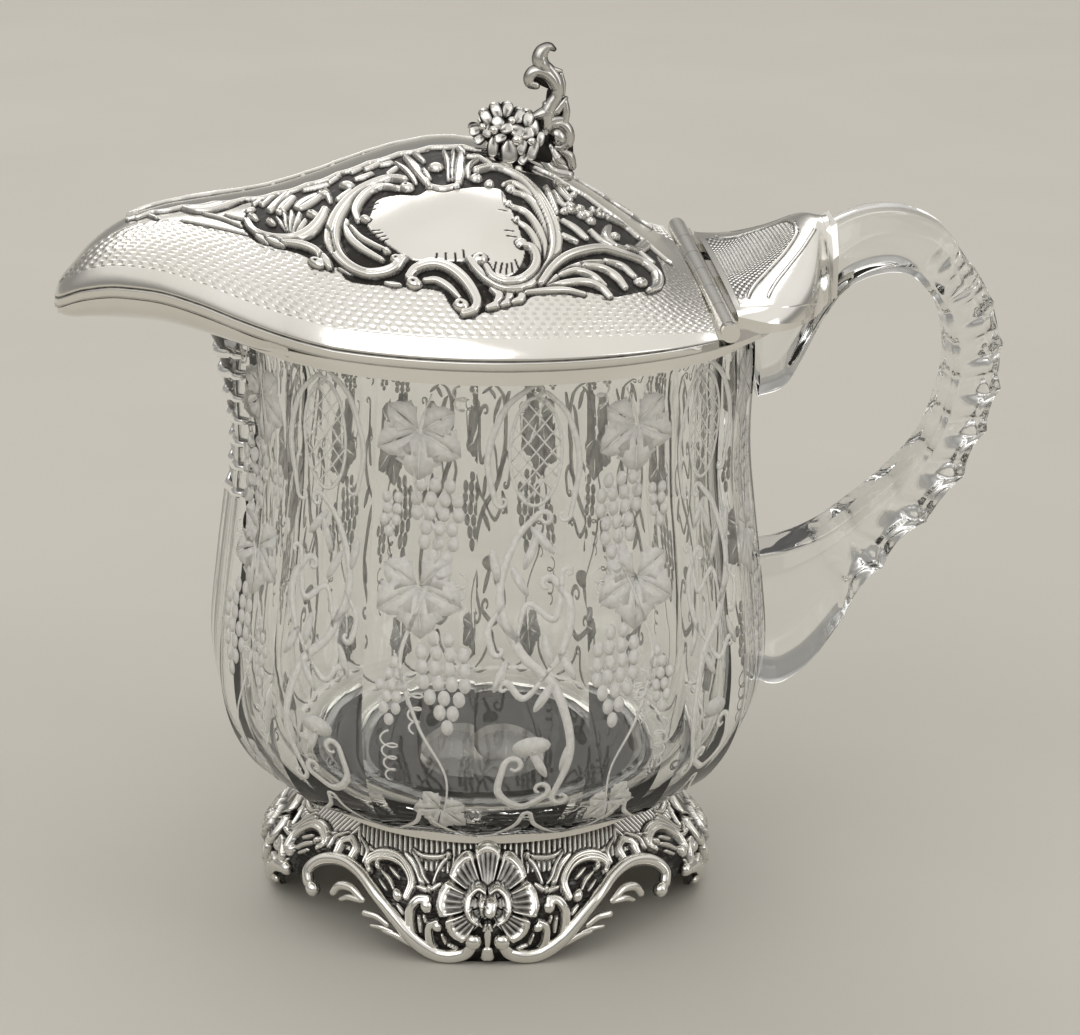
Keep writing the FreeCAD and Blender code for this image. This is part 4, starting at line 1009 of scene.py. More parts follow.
# Lines in degrees from a foot's middle and height in millimetres, with the radii along them
LONG_BORDER = [([(3.6, 6.2), (5.6, 3.4), (9.5, 2.1), (13.6, 2.6), (17.3, 4.8), (21.0, 8.4), (25.6, 13.0),
                 (30.2, 16.6), (36.0, 19.6), (42.0, 21.0), (47.5, 20.7), (52.2, 19.0), (54.2, 16.2), (53.2, 13.2)],
                (1.5, 1.9, 2.1, 2.0, 1.8, 1.7, 1.6, 1.6, 1.6, 1.7, 1.7, 1.7, 1.6, 1.5)),
               ([(3.6, 7.4), (3.6, 7.0)], (2.2, 2.2)), ([(51.2, 12.2), (50.9, 12.0)], (2.0, 2.0)),
               ([(33.5, 14.2), (37.4, 16.2), (41.5, 15.9), (43.4, 13.6)], (0.8, 1.1, 1.2, 1.0)),
               ([(34.0, 13.9), (38.0, 13.8), (40.6, 12.6)], (0.7, 0.9, 0.6)),
               ([(26.0, 9.2), (29.2, 10.8), (32.6, 10.9)], (0.7, 0.9, 1.0)),
               ([(24.6, 7.4), (27.6, 8.0), (30.6, 7.9)], (0.6, 0.7, 0.5)),
               ([(20.0, 4.6), (23.4, 6.6), (27.0, 7.4)], (0.7, 0.9, 0.7)),
               ([(0.5, 4.6), (0.5, 2.6)], (1.0, 1.5))]
SHORT_BORDER = [([(3.4, 5.8), (5.6, 3.2), (9.4, 4.2), (13.6, 7.8), (18.5, 10.7), (24.5, 12.4)],
                 (1.5, 1.9, 1.9, 1.8, 1.7, 1.5)),
                ([(3.4, 6.8), (3.4, 6.4)], (2.0, 2.0)), ([(25.0, 12.6), (25.4, 12.6)], (1.8, 1.8)),
                ([(12.0, 3.6), (15.4, 6.0), (18.6, 6.8)], (0.6, 0.9, 0.9)),
                ([(0.5, 4.4), (0.5, 2.6)], (1.0, 1.5))]
FEET = {"near": (270, LONG_BORDER), "far": (90, LONG_BORDER), "spout": (180, SHORT_BORDER),
        "handle": (0, SHORT_BORDER)}


def on_skirt(places, middle, stand):
    """Points in space from places (round from a foot's middle, height), stand off the skirt."""
    places = np.asarray(places, float)
    radius = skirt_radius(places[:, 1]) + stand
    angle = places[:, 0] / FOOT_BULGE + middle
    return np.stack([radius * np.cos(angle), radius * np.sin(angle), places[:, 1]], 1)


def build_borders():
    for name, (degrees, lines) in FEET.items():
        middle = math.radians(degrees) + FOOT_TURN
        parts, dark = [], []
        for side in (-1, 1):
            for outline, radii in lines:
                places = np.array([(math.radians(turn) * FOOT_BULGE, height) for turn, height in outline])
                path = smooth_path(places)
                thick = np.interp(np.linspace(0, 1, len(path)), np.linspace(0, 1, len(radii)), radii)
                path[:, 1] = np.maximum(path[:, 1], thick + 0.02)
                path[:, 0] *= side
                points, faces = tube_mesh(on_skirt(path, middle, 0.9), thick, 14)
                # Painted shade under the border, darker where the tube sits close to the skirt
                stand = np.hypot(points[:, 0], points[:, 1]) - skirt_radius(np.maximum(points[:, 2], 0.0))
                dark.append(np.clip(0.9 - stand * 0.9, 0, 0.9))
                parts.append((points, faces))
        points, faces = gather(parts)
        piece = make_object("foot_scroll_border_" + name, points, faces, CHASED_SILVER, "jug",
                            np.concatenate(dark))
        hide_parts("foot_border_" + name)


# Cast shells on the feet: lobes fan out from a boss between two crescents

SHELL_RADIUS = 13.5
SHELL_HEIGHT = 17.0
LOBE_TURN = math.radians(43.0)
SHELL_GAP = math.radians(150.0)


def build_shells():
    rings, spokes = 34, 264
    turn = np.linspace(-math.pi, math.pi, spokes, endpoint=False)
    lobe = np.clip(np.round(turn / LOBE_TURN), -3, 3)
    offset = np.clip((turn - lobe * LOBE_TURN) / (LOBE_TURN / 2), -1, 1)
    reach = SHELL_RADIUS * (1 - 0.13 * np.abs(offset) ** 2.6) * np.where(np.abs(lobe) == 3, 0.92, 1.0)
    reach = np.where(np.abs(turn) > SHELL_GAP, 6.5, reach)
    share = np.concatenate([[0.01], np.linspace(0, 1, rings)[1:]])[:, None]
    radius = share * reach[None, :]
    across, up = radius * np.sin(turn), radius * np.cos(turn)
    away = np.abs(offset)[None, :]
    rim = np.exp(-((share - 0.91) / 0.075) ** 2)
    flank = np.exp(-((away - 0.78) / 0.14) ** 2) * np.clip(share * 2.2 - 0.7, 0, 1)
    ribs = np.cos(away * math.pi * 5.0) * np.clip((share - 0.3) * 3, 0, 1) * (away < 0.7) * (share < 0.84)
    gap = np.exp(-((away - 1.0) / 0.09) ** 2)
    dome = 1.3 + 0.5 * share + 1.0 * np.maximum(rim * (away < 0.97), flank) + 0.22 * ribs - 1.3 * gap
    relief = Relief(across, up)
    relief.height[:] = dome.ravel()
    shade = 0.25 + 0.35 * np.clip(-ribs, 0, 1) - 0.5 * np.maximum(rim, flank) + 0.9 * gap + 0.3 * (share < 0.84)
    relief.dark[:] = np.clip(shade, 0, 1).ravel()
    for side in (-1, 1):
        crescent = smooth_path([(side * 0.5, 3.0), (side * 2.6, 3.9), (side * 4.8, 2.4), (side * 5.3, -0.6),
                                (side * 4.4, -3.0), (side * 2.6, -4.4)], 0.3)
        relief.stroke(crescent, swell(len(crescent), 0.95, 0.6, 0.5), 1.4, moat=0.5, lift=2.0)
        relief.stroke(np.array([(side * 0.4, -4.8), (side * 1.0, -6.4)]), 0.55, 0.8, moat=0.3, lift=1.6)
        relief.stroke(np.array([(side * 0.9, 0.6), (side * 0.5, -1.2)]), 1.7, 1.9, moat=0.3, lift=1.9)
    height, dark = relief.grids()
    height = np.concatenate([height, np.full((1, spokes), -0.5)])
    across, up = [np.concatenate([grid, grid[-1:]]) for grid in (across, up)]
    dark = np.concatenate([dark, np.full((1, spokes), 0.9)]).ravel()
    rows = rings + 1
    faces = grid_faces(rows, spokes, closed=True)
    centre = rows * spokes
    faces += [(k, centre, (k + 1) % spokes)[::-1] for k in range(spokes)]
    last = (rows - 1) * spokes
    faces += [(last + k, last + (k + 1) % spokes, centre + 1) for k in range(spokes)]
    for name, (degrees, outline) in FEET.items():
        middle = math.radians(degrees) + FOOT_TURN
        places = np.stack([across.ravel(), up.ravel() + SHELL_HEIGHT], 1)
        points = on_skirt(places, middle, height.ravel())
        hub = on_skirt([(0.0, SHELL_HEIGHT), (0.0, SHELL_HEIGHT)], middle, np.array([height[0].mean(), -0.5]))
        piece = make_object("foot_shell_relief_" + name, np.concatenate([points, hub]), faces, CHASED_SILVER,
                            "jug", np.concatenate([dark, [0.0, 0.9]]))
        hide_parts("foot_shell_" + name)


# Finial: a scroll thumbpiece with a cluster of flowers before it, placed by the photograph's pixels

FINIAL_PARTS = [
    # line in pixels, and radii in millimetres along it
    ([(547, 70), (541, 63), (540, 56), (543, 50), (549, 46.5), (554, 49)], (1.6, 2.1, 2.1, 1.8, 1.3, 0.7)),
    ([(557, 88), (552, 79), (545, 73), (536, 71), (530, 76), (530, 83), (536, 85)],
     (1.7, 1.8, 1.8, 1.8, 1.7, 1.5, 1.2)),
    ([(545, 64), (551, 71), (557, 82), (557, 94), (552, 103), (547, 113), (546, 126)],
     (1.2, 1.5, 1.7, 1.7, 1.8, 2.0, 2.0)),
    ([(548, 68), (555, 70), (561, 71)], (0.7, 0.9, 0.5)),
    ([(561, 74), (563, 84), (563, 94)], (0.6, 0.8, 0.6)),
    ([(546, 104), (550, 109), (556, 111), (561, 105), (566, 98)], (1.0, 1.25, 1.25, 1.1, 0.6)),
    ([(548, 112), (540, 115), (530, 119)], (2.0, 1.6, 1.0)),
    ([(565, 102), (566, 112), (564, 122)], (0.9, 1.1, 1.2)),
    ([(562, 119), (552, 121), (544, 130), (541, 142), (544, 155), (552, 164)], (1.1, 1.6, 1.8, 1.8, 1.7, 1.2)),
    ([(562, 123), (568, 130), (569, 140), (563, 147), (556, 147)], (1.1, 1.4, 1.4, 1.3, 1.0)),
    ([(550, 146), (552, 156), (558, 163), (566, 168)], (1.1, 1.5, 1.5, 1.0)),
    ([(561, 150), (569, 156), (572, 166)], (1.0, 1.4, 1.2)),
    ([(542, 160), (552, 171), (568, 175)], (1.6, 2.0, 1.7)),
    ([(524, 158), (538, 165), (552, 173)], (1.3, 1.6, 1.7)),
    ([(557, 134), (559, 138)], (2.0, 2.2)),
    ([(548, 132), (552, 125), (561, 124), (568, 131), (568, 142), (560, 148)], (1.0, 1.3, 1.5, 1.5, 1.5, 1.1)),
    ([(552, 150), (556, 158), (563, 163)], (1.3, 1.9, 1.2)),
]
# Web painted fully dark as shade in the gaps between the scrolls, thinner than they are
FINIAL_SHADE_WEB = [
    ([(552, 92), (553, 108), (552, 122), (556, 136), (558, 152), (560, 168)], (1.4, 2.2, 3.0, 4.2, 4.0, 2.6)),
    ([(540, 76), (546, 80), (552, 84)], (2.0, 1.9, 1.6)),
]
FINIAL_WIDENING = 1.15
WEB_THINNING = 0.22


def finial_place(pixel, across):
    """Point in space where a pixel's ray meets the upright plane at a distance across the finial."""
    ray = pixel_ray(pixel)
    return EYE + ray * (across - EYE[1]) / ray[1]


def build_finial_scroll():
    parts, dark = [], []
    # Base darkness of each set: oxide on the scrolls, painted shade on the web that fills the gaps
    for pieces, scale, oxide_and_gap_shade in ((FINIAL_PARTS, FINIAL_WIDENING, 0.3), (FINIAL_SHADE_WEB, WEB_THINNING, 1.0)):
        for pixels, radii in pieces:
            line = np.array([finial_place(pixel, 0.0) for pixel in pixels])
            path = smooth_path(line, 0.35)
            thick = np.interp(np.linspace(0, 1, len(path)), np.linspace(0, 1, len(radii)), radii)
            points, faces = tube_mesh(path, thick, 16)
            points[:, 1] *= scale
            # Painted shade where the tube turns away from the eye at either side; the scrolls keep a base of oxide and
            # the web is painted fully dark
            beside = np.abs(points[:, 1]) / np.maximum(thick.max() * scale, 0.1)
            dark.append(np.maximum(oxide_and_gap_shade, np.clip(1.2 - 1.5 * beside, 0.25, 1)))
            parts.append((points, faces))
    points, faces = gather(parts)
    piece = make_object("finial_cast_scroll", points, faces, CHASED_SILVER, "lid", np.concatenate(dark))
    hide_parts("finial_scroll")


def petal(root, out, face, length, width, cup):
    """Closed rounded petal from its root along out, hollowed towards its face."""
    side = np.cross(face, out)
    rows, columns = 9, 12
    u = np.linspace(0.02, 0.98, rows)[:, None]
    angle = np.linspace(0, 2 * math.pi, columns, endpoint=False)[None, :]
    half = width / 2 * np.sin(math.pi * u ** 1.35) ** 0.5
    thick = 0.55 * np.sin(math.pi * u) ** 0.5 + 0.12
    lift = cup * (u ** 2)
    across = half * np.cos(angle)
    hollow = 0.35 * cup * (across / (width / 2)) ** 2 - 0.25 * np.exp(-(across / 0.35) ** 2)
    rise = lift + hollow + thick * np.sin(angle)
    points = (root + (u * length)[:, :, None] * out + across[:, :, None] * side + rise[:, :, None] * face)
    points = points.reshape(-1, 3)
    faces = grid_faces(rows, columns, closed=True, flip=True)
    last = (rows - 1) * columns
    faces.append(tuple(range(columns)))
    faces.append(tuple(last + k for k in range(columns - 1, -1, -1)))
    return points, faces


def ball(centre, radius):
    """Closed ball as a short tube."""
    centre = np.asarray(centre, float)
    step = np.array([0.0, 0.0, radius * 0.25])
    heights = np.linspace(-0.95, 0.95, 9)
    path = np.array([centre + step * 4 * h for h in heights])
    return tube_points_closed(path, radius * np.sqrt(1 - heights ** 2), 12)


def tube_points_closed(path, radii, sides):
    """Closed tube without added round ends."""
    rings = tube_points(path, radii, sides)
    faces = grid_faces(len(path), sides, closed=True, flip=True)
    top = (len(path) - 1) * sides
    faces.append(tuple(range(sides)))
    faces.append(tuple(top + k for k in range(sides - 1, -1, -1)))
    return rings.reshape(-1, 3), faces


# Petals of the cluster: pixel of the middle, distance across, length, width, and where its tip points on the picture
PETALS = [
    ((476, 131), -2.2, 3.6, 2.6, 195), ((487, 119), -2.4, 4.2, 2.8, 120), ((488, 131), -3.6, 3.6, 2.6, 250),
    ((480, 139), -3.2, 3.6, 2.4, 215), ((497, 113), -2.2, 4.4, 2.8, 110), ((507, 111), -1.6, 4.2, 2.8, 70),
    ((499, 124), -4.4, 4.0, 3.0, 130), ((506, 129), -5.0, 3.6, 2.8, 20), ((493, 146), -5.2, 5.6, 2.7, 265),
    ((509, 151), -5.8, 6.4, 4.2, 275), ((501, 138), -5.4, 3.4, 2.4, 200), ((519, 118), -2.6, 4.2, 2.8, 60),
    ((516, 131), -5.0, 4.4, 3.2, 340), ((526, 134), -4.8, 4.0, 3.2, 20), ((528, 121), -3.2, 4.2, 2.8, 80),
    ((534, 128), -3.6, 4.4, 2.4, 100), ((522, 146), -5.4, 4.6, 2.6, 255), ((533, 150), -4.6, 5.6, 2.8, 250),
    ((524, 158), -4.8, 4.0, 2.4, 230), ((540, 140), -3.4, 4.2, 2.2, 80),
]
BUDS = [((494, 130), -5.6, 1.2), ((517, 140), -6.2, 1.5), ((483, 127), -3.8, 1.0), ((512, 121), -3.8, 1.2),
        ((531, 141), -5.2, 1.2)]


PETAL_FULLNESS = 1.22


def build_finial_spray():
    parts, dark = [], []
    toward = np.array([0.0, -0.93, 0.37])
    for side in (1, -1):
        for pixel, across, length, width, tip in PETALS:
            centre = finial_place(pixel, across)
            angle = math.radians(tip)
            out = math.cos(angle) * RIGHT + math.sin(angle) * UP
            out = out - toward * (out @ toward)
            out /= np.linalg.norm(out)
            face = toward + 0.25 * out
            face /= np.linalg.norm(face)
            out = out - face * (out @ face)
            out /= np.linalg.norm(out)
            points, faces = petal(centre - out * length / 2, out, face, length, width * PETAL_FULLNESS, 0.8)
            # Over a faint base of oxide, painted shade down each petal's root groove and towards its sides
            groove = np.exp(-(((points - centre) @ np.cross(face, out)) / 0.4) ** 2) * (points @ out < centre @ out)
            points[:, 1] *= side
            beside = np.abs((points - centre * (1, side, 1)) @ (np.cross(face, out) * (1, side, 1))) / (width / 2)
            dark.append(np.clip(0.15 + groove * 0.6 + np.clip(beside - 0.55, 0, 1) * 1.6, 0, 1))
            parts.append((points, [one[::-1] for one in faces] if side < 0 else faces))
        for pixel, across, radius in BUDS:
            points, faces = ball(finial_place(pixel, across), radius)
            points[:, 1] *= side
            dark.append(np.zeros(len(points)))
            parts.append((points, [one[::-1] for one in faces] if side < 0 else faces))
    # Solid heart that the flowers grow from, painted fully dark as shade between the petals
    for pixels, radii in (([(480, 133), (492, 135), (512, 140), (532, 146), (546, 156)], (1.2, 3.0, 4.4, 4.0, 2.4)),
                          ([(490, 123), (505, 122), (525, 126), (542, 138)], (1.4, 2.6, 3.0, 2.4))):
        line = np.array([finial_place(pixel, 0.0) for pixel in pixels])
        path = smooth_path(line, 0.8)
        thick = np.interp(np.linspace(0, 1, len(path)), np.linspace(0, 1, len(radii)), radii)
        points, faces = tube_mesh(path, thick, 20)
        parts.append((points, faces))
        dark.append(np.ones(len(points)))
    points, faces = gather(parts)
    piece = make_object("finial_flower_cluster", points, faces, CHASED_SILVER, "lid", np.concatenate(dark))
    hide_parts("finial_spray")


# Glass handle: a cut bar with thumb scoops down its outer edges

HANDLE_LOW, HANDLE_HIGH = node_box("glass_handle")
BELLY_RADIUS = 75.0
HANDLE_HALF = 10.5
# Outer and inner point, each as share of reach beyond the belly and of the handle's height
HANDLE_LOOP = [
    ((-0.08, 0.833), (-0.08, 0.624)), ((0.065, 0.908), (0.033, 0.643)), ((0.179, 0.949), (0.106, 0.699)),
    ((0.293, 0.981), (0.182, 0.772)), ((0.423, 0.998), (0.285, 0.843)), ((0.569, 0.994), (0.423, 0.875)),
    ((0.715, 0.962), (0.561, 0.873)), ((0.842, 0.889), (0.678, 0.822)), ((0.935, 0.824), (0.738, 0.771)),
    ((0.995, 0.726), (0.766, 0.692)), ((0.992, 0.618), (0.748, 0.621)), ((0.920, 0.515), (0.676, 0.522)),
    ((0.797, 0.403), (0.537, 0.443)), ((0.580, 0.292), (0.350, 0.368)), ((0.390, 0.176), (0.211, 0.324)),
    ((0.228, 0.064), (0.073, 0.299)), ((0.105, 0.012), (0.0, 0.292)), ((0.02, 0.004), (-0.05, 0.288)),
    ((-0.08, 0.03), (-0.12, 0.288)),
]
# Section from its inner to its outer side: share of half width, share of depth
HANDLE_CORNERS = [(0.80, 0.0), (1.0, 0.15), (1.0, 0.74), (0.60, 1.0), (-0.60, 1.0), (-1.0, 0.74), (-1.0, 0.15),
                  (-0.80, 0.0)]
SCOOP_SPAN = (6.4, 14.2)
SCOOP_COUNT = 9
SCOOP_DEPTH = 3.1


def glass_surface():
    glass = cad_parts["glass_body"].data
    return BVHTree.FromPolygons([vertex.co for vertex in glass.vertices],
                                [polygon.vertices for polygon in glass.polygons])


def build_handle(surface):
    per_edge, steps = 12, 26
    corners = np.array(HANDLE_CORNERS)
    section = np.concatenate([here + (there - here) * np.linspace(0, 1, per_edge, endpoint=False)[:, None]
                              for here, there in zip(corners, np.roll(corners, -1, axis=0))])
    for _ in range(2):
        section = (np.roll(section, 1, axis=0) + 2 * section + np.roll(section, -1, axis=0)) / 4
    shares = np.array(HANDLE_LOOP).reshape(-1, 4)
    knots = np.arange(len(shares))
    padded = np.concatenate([2 * shares[:1] - shares[1:2], shares, 2 * shares[-1:] - shares[-2:-1]])
    places = np.linspace(0, len(shares) - 1, (len(shares) - 1) * steps + 1)
    k = np.minimum(places.astype(int), len(shares) - 2)
    u = (places - k)[:, None]
    before, here, there, after = padded[k], padded[k + 1], padded[k + 2], padded[k + 3]
    line = 0.5 * (2 * here + (there - before) * u + (2 * before - 5 * here + 4 * there - after) * u ** 2
                  + (3 * here - before - 3 * there + after) * u ** 3)
    reach, rise = HANDLE_HIGH[0] - BELLY_RADIUS, HANDLE_HIGH[2] - HANDLE_LOW[2]
    outer = np.stack([BELLY_RADIUS + line[:, 0] * reach, HANDLE_LOW[2] + line[:, 1] * rise], 1)
    inner = np.stack([BELLY_RADIUS + line[:, 2] * reach, HANDLE_LOW[2] + line[:, 3] * rise], 1)
    span = outer - inner
    depth = np.linalg.norm(span, axis=1, keepdims=True)
    out = span / depth
    phase = (places - SCOOP_SPAN[0]) / (SCOOP_SPAN[1] - SCOOP_SPAN[0]) * SCOOP_COUNT
    scooped = (phase > 0) & (phase < SCOOP_COUNT)
    hollow = np.where(scooped, 1 - (2 * (phase % 1) - 1) ** 2, 0.0) ** 0.8
    side = section[:, 0] * HANDLE_HALF
    up = section[:, 1]
    rings = []
    for i in range(len(places)):
        beside = np.hypot(np.abs(side) - 8.4, (up - 0.78) * depth[i, 0])
        dent = SCOOP_DEPTH * hollow[i] * np.exp(-(beside / 7.0) ** 2)
        y = side - np.sign(side) * 0.8 * dent
        along = up * depth[i, 0] - 0.6 * dent
        flat = inner[i] + out[i] * along[:, None]
        rings.append(np.stack([flat[:, 0], y, flat[:, 1]], 1))
    rings = np.array(rings)
    count = 300
    columns = []
    for j in range(len(section)):
        track = rings[:, j]
        bounds = []
        for order in (range(3 * steps, 0, -1), range(len(places) - 3 * steps, len(places) - 1)):
            ahead = -1 if order.step < 0 else 1
            bound = float(order[-1])
            for i in order:
                step = track[i + ahead] - track[i]
                length = np.linalg.norm(step)
                hit = surface.ray_cast(Vector(track[i] * MM), Vector(step), length * MM)
                if hit[0] is not None:
                    bound = i + ahead * max(0.0, hit[3] / MM / length - 0.02)
                    break
            bounds.append(bound)
        at = np.linspace(bounds[0], bounds[1], count)
        columns.append(np.stack([np.interp(at, np.arange(len(track)), track[:, axis]) for axis in range(3)], 1))
    grid = np.array(columns).transpose(1, 0, 2)
    points = list(grid.reshape(-1, 3))
    faces = grid_faces(count, len(section), closed=True)
    for ring, first in ((grid[0], 0), (grid[-1], (count - 1) * len(section))):
        middle = ring.mean(0)
        hit = surface.ray_cast(Vector((middle + [12.0, 0, 0]) * MM), Vector((-1, 0, 0)))[0]
        points.append(np.array(hit) / MM + [0.05, 0, 0] if hit is not None else middle)
        for j in range(len(section)):
            face = (first + j, first + (j + 1) % len(section), len(points) - 1)
            faces.append(face[::-1] if first == 0 else face)
    piece = make_object("glass_cut_handle", points, faces, HANDLE_GLASS, "jug")
    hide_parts("glass_handle")


# Chasing laid over the plate behind the hinge

PLATE_SPAN = (60.4, 87.0)
PLATE_AXIS = 164.0
PLATE_REACH = 30.0
PLATE_TURN = 79
# Edge of the dotted field: share of the plate's half turn, and place along the jug
PLATE_FIELD = [(0.0, 79.0), (0.25, 78.4), (0.5, 75.0), (0.75, 69.0), (0.92, 63.5), (1.0, 61.0)]
PLATE_LINES = [(0.9, 0.5, 0.45, 0.0), (5.6, 0.35, 0.15, 0.3)]


def build_plate():
    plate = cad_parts["rear_plate"].data
    surface = BVHTree.FromPolygons([vertex.co for vertex in plate.vertices],
                                   [polygon.vertices for polygon in plate.polygons])
    rows, columns = 110, 281
    stations = np.linspace(*PLATE_SPAN, rows)
    turns = np.radians(np.linspace(-PLATE_TURN, PLATE_TURN, columns))
    sheet = np.zeros((rows, columns, 3))
    for i, x in enumerate(stations):
        for j, turn in enumerate(turns):
            ray = np.array([0.0, math.sin(turn), math.cos(turn)])
            hit = surface.ray_cast(Vector((np.array([x, 0.0, PLATE_AXIS]) + ray * 90) * MM), Vector(-ray))[0]
            sheet[i, j] = np.array(hit) / MM if hit is not None else sheet[i - 1, j]
    relief = Relief(np.repeat(stations[:, None], columns, 1), np.repeat(np.abs(turns)[None, :], rows, 0) * PLATE_REACH)

    x, up = relief.points.T
    share = up / (math.radians(PLATE_TURN) * PLATE_REACH)
    chosen = np.flatnonzero((x < follow(PLATE_FIELD, share)) & (share < 0.96))
    # The dotted field is darkened overall as painted shade, with oxide darkest in its pits
    net = np.cos(2 * math.pi * x[chosen] / 1.6) * np.cos(2 * math.pi * up[chosen] / 2.0)
    relief.height[chosen] = 0.2 * net
    relief.dark[chosen] = np.clip(0.6 - 0.8 * net, 0, 1)
    for past, width, height, first in PLATE_LINES:
        along = np.linspace(first, 0.95, 40)
        path = np.stack([follow(PLATE_FIELD, along) + past, along * math.radians(PLATE_TURN) * PLATE_REACH], 1)
        relief.stroke(path, swell(len(path), width, 0.6, 0.5), height, moat=0.4)
    height, dark = relief.grids()
    edge = np.zeros((rows, columns))
    edge[1:-1, 1:-1] = 1.0
    outward = normals_of(sheet)
    outward *= np.sign(outward[rows // 2, columns // 2, 2])
    top = sheet + outward * ((height + 0.15) * edge - 0.1 * (1 - edge))[:, :, None]
    low = sheet - outward * 0.35
    count = rows * columns
    faces = grid_faces(rows, columns) + grid_faces(rows, columns, count, flip=True)
    loop = border_loop(rows, columns)
    for k in range(len(loop)):
        here, there = loop[k], loop[(k + 1) % len(loop)]
        faces.append((there, here, count + here, count + there))
    piece = make_object("rear_plate_chasing", np.concatenate([top.reshape(-1, 3), low.reshape(-1, 3)]), faces,
                        CHASED_SILVER, "jug", np.concatenate([dark.ravel(), dark.ravel()]))


# Engraving: thin frosted cuts that lie on the glass panels

PANEL_COUNT = 16
PANEL_TURN = math.radians(4.75)
ENGRAVING_STAND = 0.09
ENGRAVING_DEPTH = 0.06


def engraving_material():
    material = new_material("glass_engraved")
    tree = Tree(material)
    grain = tree.noise(900.0, 3.0)
    shader = tree.add("BsdfPrincipled")
    tree.feed(shader, "Base Color", tree.ramp(grain, [(0.3, (0.82, 0.81, 0.78)), (0.7, (0.95, 0.94, 0.91))]))
    tree.feed(shader, "Roughness", 0.6)
    tree.feed(shader, "Transmission Weight", 0.35)
    tree.feed(shader, "IOR", 1.2)
    tree.feed(shader, "Normal", tree.bump(grain, 0.3, 0.0001))
    tree.finish(shader.outputs["BSDF"])
    return material


class Engraving:
    """Flat cuts on one panel, given as (across the panel, height) in millimetres."""

    def __init__(self, surface):
        self.surface = surface
        self.parts = []
        self.panel = 0
        self.flip = 1

    def place(self, spot, stand):
        angle = PANEL_TURN + 2 * math.pi * self.panel / PANEL_COUNT
        out = np.array([math.cos(angle), math.sin(angle), 0.0])
        side = np.array([-math.sin(angle), math.cos(angle), 0.0])
        start = out * 110.0 + side * spot[0] * self.flip + np.array([0.0, 0.0, spot[1]])
        hit, normal, _, _ = self.surface.ray_cast(Vector(start * MM), Vector(-out))
        if hit is None:
            return start - out * 40.0
        return np.array(hit) / MM + np.array(normal) * stand

    def line(self, path, widths):
        """Thin closed ribbon along a path."""
        if np.isscalar(widths):
            widths = np.full(len(path), float(widths))
        run = np.gradient(path, axis=0)
        run /= np.maximum(np.linalg.norm(run, axis=1, keepdims=True), 1e-9)
        out = np.stack([-run[:, 1], run[:, 0]], 1) * widths[:, None]
        rings = []
        for spot, shift in zip(path, out):
            left, right = spot - shift, spot + shift
            rings.append([self.place(left, ENGRAVING_STAND), self.place(right, ENGRAVING_STAND),
                          self.place(right, ENGRAVING_STAND - ENGRAVING_DEPTH),
                          self.place(left, ENGRAVING_STAND - ENGRAVING_DEPTH)])
        count = len(rings)
        faces = grid_faces(count, 4, closed=True, flip=self.flip < 0)
        caps = [(3, 2, 1, 0), tuple(4 * (count - 1) + k for k in range(4))]
        faces += [cap[::-1] for cap in caps] if self.flip < 0 else caps
        self.parts.append((np.array(rings).reshape(-1, 3), faces))

    def shape(self, outline, centre):
        """Thin closed plate inside an outline that its centre can see."""
        count = len(outline)
        top = [self.place(spot, ENGRAVING_STAND) for spot in outline] + [self.place(centre, ENGRAVING_STAND)]
        low = [self.place(spot, ENGRAVING_STAND - ENGRAVING_DEPTH) for spot in outline]
        low.append(self.place(centre, ENGRAVING_STAND - ENGRAVING_DEPTH))
        faces = []
        for k in range(count):
            there = (k + 1) % count
            faces.append((k, there, count))
            faces.append((count + 1 + there, count + 1 + k, 2 * count + 1))
            faces.append((k, count + 1 + k, count + 1 + there, there))
        if self.flip < 0:
            faces = [face[::-1] for face in faces]
        self.parts.append((np.array(top + low), faces))

    def oval(self, centre, width, height, turn=0.0):
        angle = np.linspace(0, 2 * math.pi, 14, endpoint=False)
        x, y = width * np.cos(angle), height * np.sin(angle)
        outline = np.stack([x * math.cos(turn) - y * math.sin(turn), x * math.sin(turn) + y * math.cos(turn)], 1)
        self.shape(outline + centre, np.array(centre))

    def vine_leaf(self, centre, radius, turn=0.0):
        """Five-lobed vine leaf of separate lobes with toothed edges, so that its veins stay clear."""
        centre = np.array(centre, float)
        for k in range(5):
            angle = turn + math.radians(-90 + (k - 2) * 62)
            reach = radius * (1.0, 0.92, 0.78)[abs(k - 2)]
            out = np.array([math.cos(angle), math.sin(angle)])
            side = np.array([-out[1], out[0]])
            edge = [(0.04, 0.0), (0.26, 0.20), (0.42, 0.42), (0.50, 0.35), (0.62, 0.46), (0.70, 0.31), (0.83, 0.25),
                    (1.0, 0.0)]
            for half in (-1, 1):
                outline = [centre + (out * along + side * half * across) * reach for along, across in edge]
                outline.append(centre + (out * 0.5 + side * half * 0.02) * reach)
                middle = centre + (out * 0.55 + side * half * 0.14) * reach
                if half < 0:
                    outline = outline[::-1]
                self.shape(np.array(outline)[::-1], middle)

    def grapes(self, top, rows, size, lean=0.0):
        """Bunch of grapes that hangs from its top."""
        for row, count in enumerate(rows):
            for k in range(count):
                x = top[0] + (k - (count - 1) / 2) * size * 1.9 + lean * row + 0.3 * math.sin(3.1 * row + k)
                self.oval((x, top[1] - row * size * 2.0), size * 0.86, size * 1.1)

    def tendril(self, start, loops, radius, side=1):
        """Curly tendril of shrinking loops that runs down from its start."""
        angle = np.linspace(0, loops * 2 * math.pi, int(loops * 14))
        reach = radius * (1 - 0.5 * angle / angle[-1])
        x = start[0] + side * reach * np.sin(angle)
        y = start[1] - 0.55 * radius * angle / math.pi * 1.4 + reach * 0.6 * (np.cos(angle) - 1)
        self.line(np.stack([x, y], 1), 0.28)

    def scroll(self, points, width, end=None, start=None):
        path = scroll_path(points, end, start)[::2]
        self.line(path, swell(len(path), width, 0.35, 0.35))


